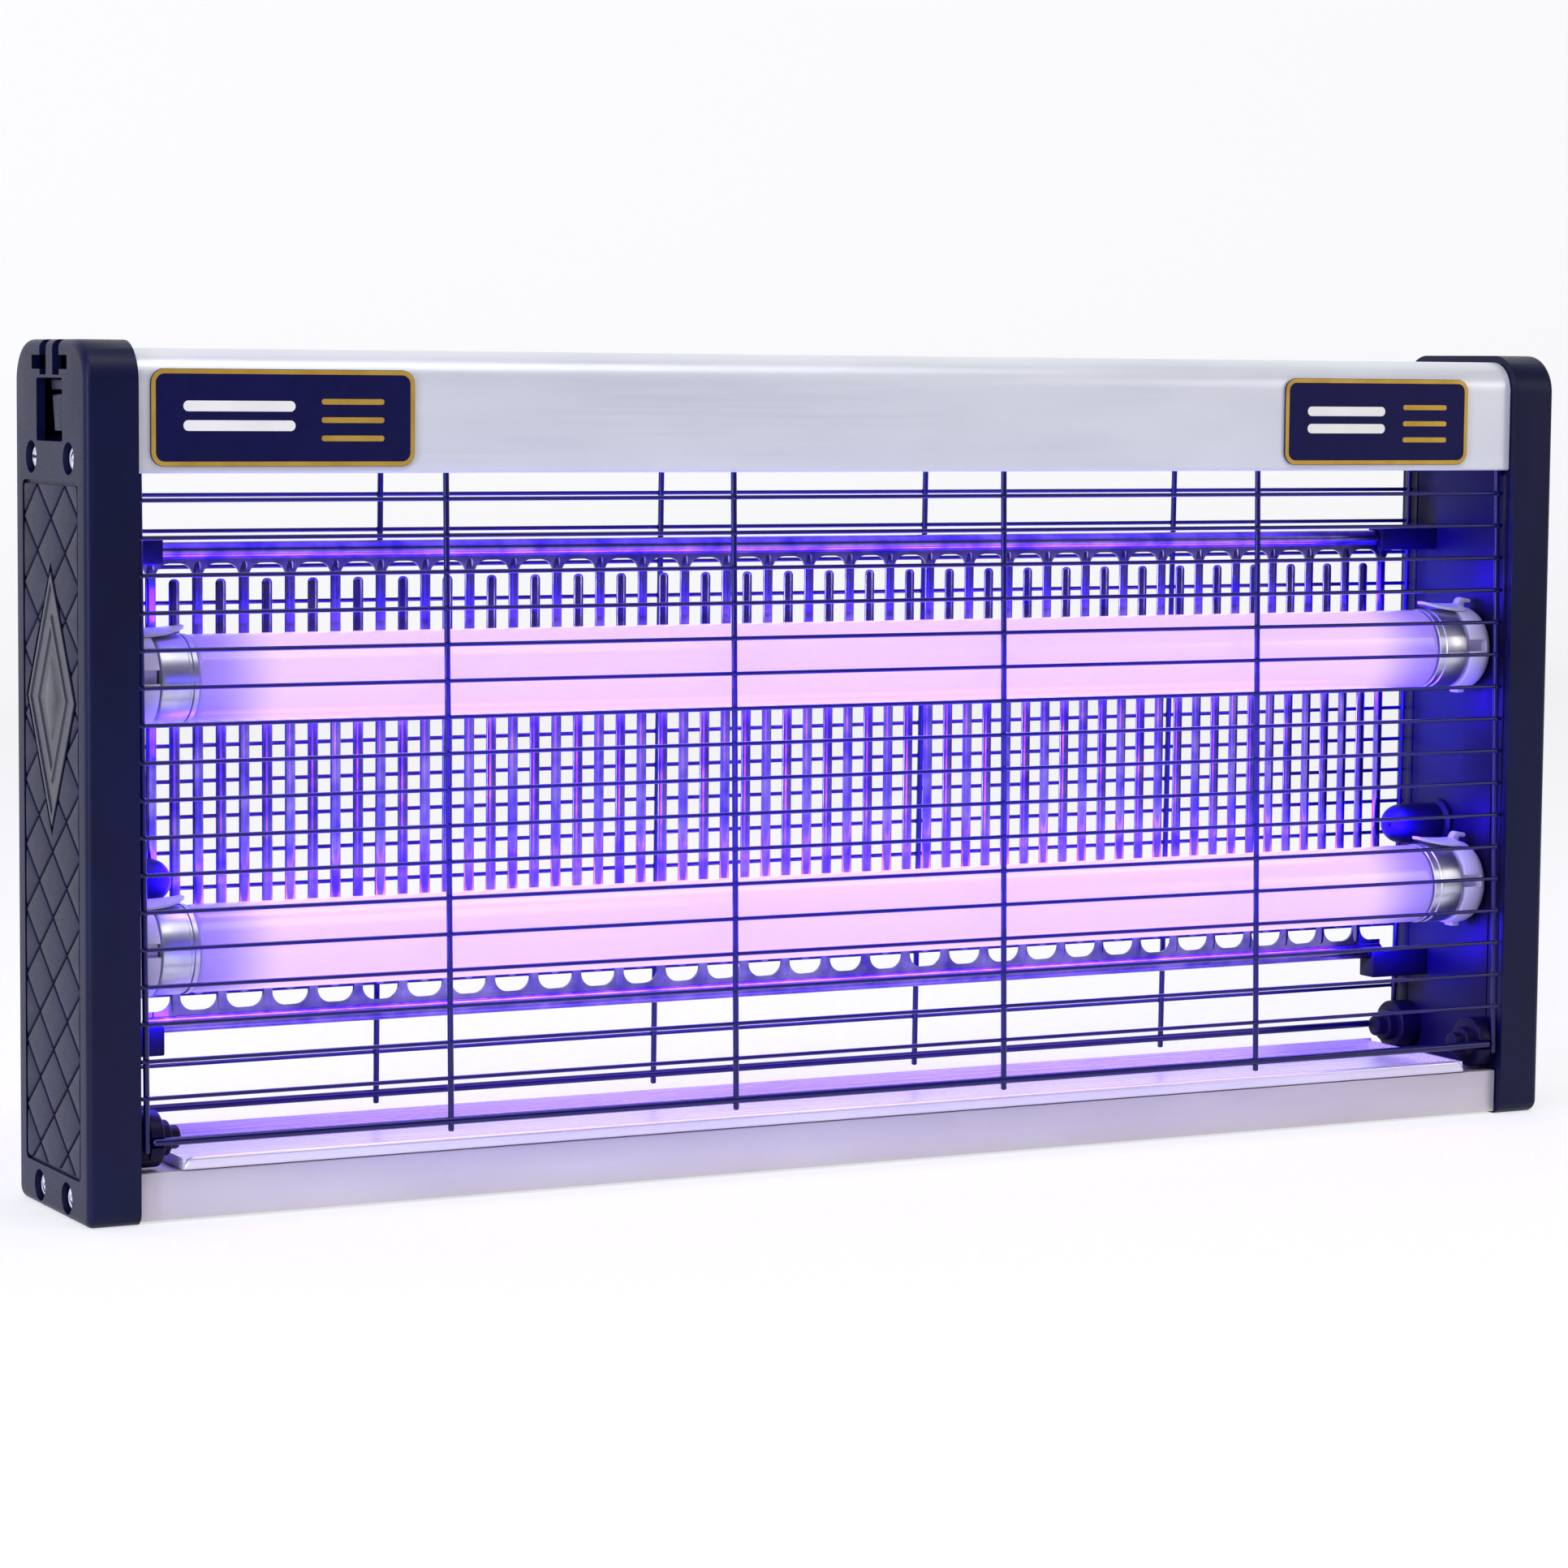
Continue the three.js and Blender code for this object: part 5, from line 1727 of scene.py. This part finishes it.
        reach = self.visor_reach
        rings = [(0.0, face + 2.4), (0.0, face), (0.12, face - reach * 0.4)]
        rings += [(0.4, face - reach * 0.8), (0.68, face - reach)]
        return loft("visor", outline, rings, Axis.X)

    def hook(self, face: float, top: float, crest: float) -> bpy.types.Object:
        """Build the small hooked lug on top of the cup."""
        y = self.axis_at[0]
        points = [
            (face + 1.4, top - 0.8),
            (face + 3.4, crest - 0.6),
            (face + 4.2, crest),
            (face + 8.2, crest - 0.7),
            (face + 8.2, crest - 2.1),
            (face + 5.6, crest - 1.9),
            (face + 5.4, top - 0.8),
        ]
        return prism("hook", points, Axis.Y, y - 1.5, y + 1.5)

    def rotor(self, side: str, sign: int) -> None:
        """Build one rotor: a disc with a slot across it and two raised lands."""
        node = f"lamp_rotor_{self.level}_{side}"
        low, high = span(f"lamp_rotor_{self.level}_right")
        y, z = self.axis_at
        radius = (high.z - low.z) / 2
        profile: list[Point] = [(low.x, 0), (low.x, radius - 0.5), (low.x + 0.5, radius)]
        profile += [(high.x, radius), (high.x, 0)]
        item = turned(f"{node}_disc", profile, Axis.X, self.axis_at, 56)
        reach = self.pin_spacing / 2 + self.pin_radius + 0.3
        slot_end = (low.x + 4.0, y + self.rotor_slot, z + reach)
        slot = block("slot", (low.x - 1, y - self.rotor_slot, z - reach), slot_end)
        combine(item, slot, "DIFFERENCE")
        soften(item, 0.2, 2, 40)
        dress(for_end(item, sign), FINISHES.white, self.body, "white_plastic", [node])

    def build(self) -> None:
        """Build the whole lamp and its holders."""
        self.glass()
        for side, sign in ENDS:
            self.cap(side, sign)
            self.holder(side, sign)
            self.rotor(side, sign)


# ---- Electrical parts -------------------------------------------------------------
@dataclass
class Equipment:
    """The parts inside the top panel and the cable gland in its back."""

    lead_radius: float = 0.45
    resistor_radius: float = 1.3
    resistor_length: float = 7.0
    gland_bore: float = 3.6
    gland_neck: float = 6.0
    nut_reach: float = 8.2
    nut_thickness: float = 3.1
    panel_inside: float = 26.7

    def board_parts(self) -> bpy.types.Object:
        """Build a row of small resistors standing on the board."""
        low, high = span("circuit_board")
        start = low.x + 4
        y = low.y + 8
        z = high.z + self.resistor_radius + 0.2
        half = self.resistor_length / 2
        lead = self.lead_radius
        profile: list[Point] = [(y - half - 2, 0), (y - half - 2, lead), (y - half, lead)]
        profile += [(y - half + 0.3, self.resistor_radius), (y + half - 0.3, self.resistor_radius)]
        profile += [(y + half, lead), (y + half + 2, lead), (y + half + 2, 0)]
        item = turned("board_resistors", profile, Axis.Y, (start, z), 16)
        return Copies.of(item, FINISHES.sleeve, (4, Vector((4.2, 0, 0))))

    def capacitor(self) -> bpy.types.Object:
        """Build the capacitor: sleeved can with a crimped neck and a scored end."""
        low, high = span("grid_capacitor")
        radius = (high.z - low.z) / 2
        centre = ((low.x + high.x) / 2, (low.z + high.z) / 2)
        profile: list[Point] = [(low.y, 0), (low.y, radius - 1.2)]
        profile += [(low.y + 0.8, radius), (low.y + 3, radius)]
        profile += [(low.y + 3.6, radius - 0.7), (low.y + 4.4, radius - 0.7), (low.y + 5, radius)]
        profile += [(high.y - 0.8, radius), (high.y, radius - 1.0)]
        profile += [(high.y - 0.3, radius - 1.6), (high.y - 0.3, 0)]
        return turned("grid_capacitor_can", profile, Axis.Y, centre, 40)

    def gland(self) -> bpy.types.Object:
        """Build the cable gland: domed flange, threaded neck, nut and bore."""
        low, high = span("cable_gland")
        centre = ((low.x + high.x) / 2, (low.z + high.z) / 2)
        flange = (high.x - low.x) / 2
        out, inn = high.y, low.y
        bore, neck = self.gland_bore, self.gland_neck
        profile: list[Point] = [(inn, bore), (inn, neck - 0.4), (inn + 0.4, neck)]
        profile += [(out - 2.2, neck), (out - 2.2, flange)]
        profile += [(out - 1.4, flange), (out - 0.5, flange - 1.2), (out, bore + 1.2), (out, bore)]
        loops = []
        for along, radius in profile:
            circle = arc(centre, radius, 0, 360, 48)[:-1]
            loops.append([Axis.Y.place(along, a, b) for a, b in circle])
        item = hoop("cable_gland_body", loops)
        nut = arc(centre, self.nut_reach, 0, 360, 6)[:-1]
        nut_end = self.panel_inside - 0.3
        ring = prism("nut", nut, Axis.Y, nut_end - self.nut_thickness, nut_end)
        hole: list[Point] = [(0, 0), (0, neck - 0.2), (60, neck - 0.2), (60, 0)]
        combine(ring, turned("hole", hole, Axis.Y, centre, 40), "DIFFERENCE")
        soften(ring, 0.4, 2, 40)
        return join("cable_gland_body", [item, ring])

    def build(self) -> None:
        """Build and dress the electrical parts."""
        simple = (
            ("transformer_core", FINISHES.core, "core_steel", 0.3),
            ("transformer_coil", FINISHES.copper, "coil_copper", 1.2),
            ("ballast", FINISHES.painted, "ballast_case", 0.6),
            ("circuit_board", FINISHES.board, "board", 0.2),
            ("terminal_block", FINISHES.white, "white_plastic", 0.4),
        )
        for node, finish, slot, width in simple:
            dress(node_copy(node, f"{node}_body", width, 3), finish, "chassis", slot, [node])
        dress(self.board_parts(), FINISHES.sleeve, "chassis", "capacitor")
        dress(self.capacitor(), FINISHES.sleeve, "chassis", "capacitor", ["grid_capacitor"])
        dress(self.gland(), FINISHES.inner, "chassis", "inner_plastic", ["cable_gland"])


# ---- Studio -----------------------------------------------------------------------
@dataclass
class Studio:
    """The floor, the lights and the camera."""

    camera_at: Sequence[float] = (-672.05, -1246.26, 242.73)
    yaw: float = 0.484559
    pitch: float = 0.089888
    roll: float = 0.009094
    lens_mm: float = 105.0503
    sensor_mm: float = 36.0
    floor_size: float = 12.0
    dark_side: float = -0.25
    bright_side: float = 0.4
    dim: float = 0.1
    bright: float = 1.0

    def camera(self) -> None:
        """Create the camera at its viewing angle."""
        data = bpy.data.cameras.new("camera")
        data.sensor_width = self.sensor_mm
        data.lens = self.lens_mm
        data.clip_end = 50.0
        forward = Vector(
            (
                math.sin(self.yaw) * math.cos(self.pitch),
                math.cos(self.yaw) * math.cos(self.pitch),
                -math.sin(self.pitch),
            )
        )
        level = Vector((math.cos(self.yaw), -math.sin(self.yaw), 0))
        upward = level.cross(forward)
        c, s = math.cos(self.roll), math.sin(self.roll)
        right = c * level + s * upward
        up = -s * level + c * upward
        turn = Matrix((right, up, -forward)).transposed().to_4x4()
        item = bpy.data.objects.new("camera", data)
        item.matrix_world = Matrix.Translation(Vector(self.camera_at) * MM) @ turn
        bpy.context.scene.collection.objects.link(item)
        bpy.context.scene.camera = item

    def area(
        self, name: str, at: Sequence[float], target: Sequence[float], size: Point, power: float, colour: str
    ) -> bpy.types.Object:
        """Add a rectangular light that looks at a target, in metres."""
        data = bpy.data.lights.new(name, "AREA")
        data.shape = "RECTANGLE"
        data.size, data.size_y = size
        data.energy = power
        data.color = linear(colour)[:3]
        item = bpy.data.objects.new(name, data)
        item.location = at
        item.rotation_euler = (Vector(target) - Vector(at)).to_track_quat("-Z", "Y").to_euler()
        bpy.context.scene.collection.objects.link(item)
        return item

    def floor(self) -> None:
        """Add a pale floor with painted glow that curves up into a backdrop."""
        steps = 12
        half = self.floor_size / 2
        radius = 1.2
        back = 3.2
        profile: list[Point] = [(-half, 0.0), (back - radius, 0.0)]
        for i in range(1, steps + 1):
            angle = math.pi / 2 * i / steps
            profile.append((back - radius + radius * math.sin(angle), radius * (1 - math.cos(angle))))
        profile.append((back, 5.0))
        verts = []
        for y, z in profile:
            verts.append((-half, y, z))
            verts.append((half, y, z))
        faces = [(2 * i, 2 * i + 1, 2 * i + 3, 2 * i + 2) for i in range(len(profile) - 1)]
        mesh = bpy.data.meshes.new("floor")
        mesh.from_pydata(verts, [], faces)
        mesh.polygons.foreach_set("use_smooth", [True] * len(mesh.polygons))
        item = new_object("floor", mesh)
        mesh.materials.append(FINISHES.floor.material())

    def world(self) -> None:
        """Light the room behind the object, and leave the room in front of it dark."""
        world = bpy.data.worlds.new("world")
        bpy.context.scene.world = world
        world.use_nodes = True
        tree = world.node_tree
        tree.nodes.clear()
        place = add_node(tree, "ShaderNodeTexCoord")
        split = add_node(tree, "ShaderNodeSeparateXYZ", links={0: place.outputs["Generated"]})
        power = add_node(
            tree,
            "ShaderNodeMapRange",
            settings={"interpolation_type": "SMOOTHSTEP"},
            values={1: self.dark_side, 2: self.bright_side, 3: self.dim, 4: self.bright},
            links={0: split.outputs[1]},
        )
        path = add_node(tree, "ShaderNodeLightPath")
        seen = add_node(
            tree,
            "ShaderNodeMix",
            values={3: self.bright},
            links={0: path.outputs["Is Camera Ray"], 2: power.outputs[0]},
        )
        sky = add_node(tree, "ShaderNodeBackground", links={"Strength": seen.outputs[0]})
        sky.inputs[0].default_value = (1.0, 1.0, 1.0, 1.0)
        add_node(tree, "ShaderNodeOutputWorld", links={0: sky.outputs[0]})

    def glow(self) -> None:
        """Add the ultraviolet-blue light that the lamps throw on what is round them."""
        for level in ("upper", "lower"):
            low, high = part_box(f"lamp_glass_{level}")
            y, z = (low.y + high.y) / 2, (low.z + high.z) / 2
            length = high.x - low.x
            reach = (high.y - low.y) / 2 + 0.0012
            for name, direction, power, colour in (
                ("back", Vector((0, 1, 0)), 1.2, "#7434ff"),
                ("front", Vector((0, -1, 0)), 0.3, "#4a20ff"),
                ("up", Vector((0, 0, 1)), 0.5, "#4a20ff"),
                ("down", Vector((0, 0, -1)), 0.2, "#a080ff"),
            ):
                at = Vector((0, y, z)) + direction * reach
                light = self.area(f"glow_{level}_{name}", at, at + direction, (length, 0.012), power, colour)
                light.rotation_euler = self.strip_turn(direction)
                light.visible_camera = False

        for _side, sign in ENDS:
            for level in ("upper", "lower"):
                low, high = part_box(f"lamp_glass_{level}")
                z = (low.z + high.z) / 2
                for step in (-1, 1):
                    at = Vector((sign * high.x, high.y, z + step * 0.02))
                    target = at + Vector((sign, 0.4, 0))
                    light = self.area(f"end_glow_{level}", at, target, (0.02, 0.01), 0.07, "#2608ff")
                    light.visible_camera = False

    def strip_turn(self, direction: Vector) -> Euler:
        """Return the rotation of a strip light along X that shines in a direction."""
        shine = -direction
        along = Vector((1, 0, 0))
        across = shine.cross(along)
        return Matrix((along, across, shine)).transposed().to_euler()

    def build(self) -> None:
        """Set the stage."""
        bpy.context.scene.view_settings.view_transform = "Standard"
        self.camera()
        self.floor()
        self.world()
        self.area("key", (-1.7, -1.5, 1.6), (0, 0, 0.14), (0.9, 1.0), 19.0, "#dcdeff")
        self.area("edge", (-2.1, -0.8, 0.45), (-0.25, 0, 0.12), (0.3, 0.9), 24.0, "#c4ccff")
        self.area("top", (0.1, -0.9, 1.9), (0, 0, 0.2), (1.6, 0.7), 15.0, "#ffffff")
        self.area("right", (1.7, -1.5, 0.9), (0, 0, 0.15), (0.5, 1.0), 7.0, "#fff8f2")
        haze = self.area("haze", (0, -0.3, 0.11), (0, 0, 0.11), (0.36, 0.07), 0.42, "#3a10ff")
        haze.data.spread = math.radians(34)
        haze.visible_camera = False
        self.glow()


def main() -> None:
    """Build every class in order."""
    logging.basicConfig(level=logging.INFO, format="%(name)s: %(message)s")
    Studio().build()
    for side, sign in ENDS:
        EndHousing(side, sign).build()
    HousingScrews().build()
    Panels().build()
    for node in ("label_left", "label_right"):
        LabelPlate(node).build()
    WireGuard("front_guard", -1, "front_guard_hinge", 1.6).build()
    WireGuard("rear_guard", 1, "rear_guard_hinge", 3.6).build()
    for side, sign in ENDS:
        GuardClip(side, "front").build(sign, 1.6)
        GuardClip(side, "rear").build(sign, 3.6)
    GridComb("grid_comb_upper", 31, True).build()
    GridComb("grid_comb_lower", 30, False).build()
    GridMounts().build()
    for level in ("upper", "lower"):
        Lamp(level).build()
    Equipment().build()


if __name__ == "__main__":
    main()
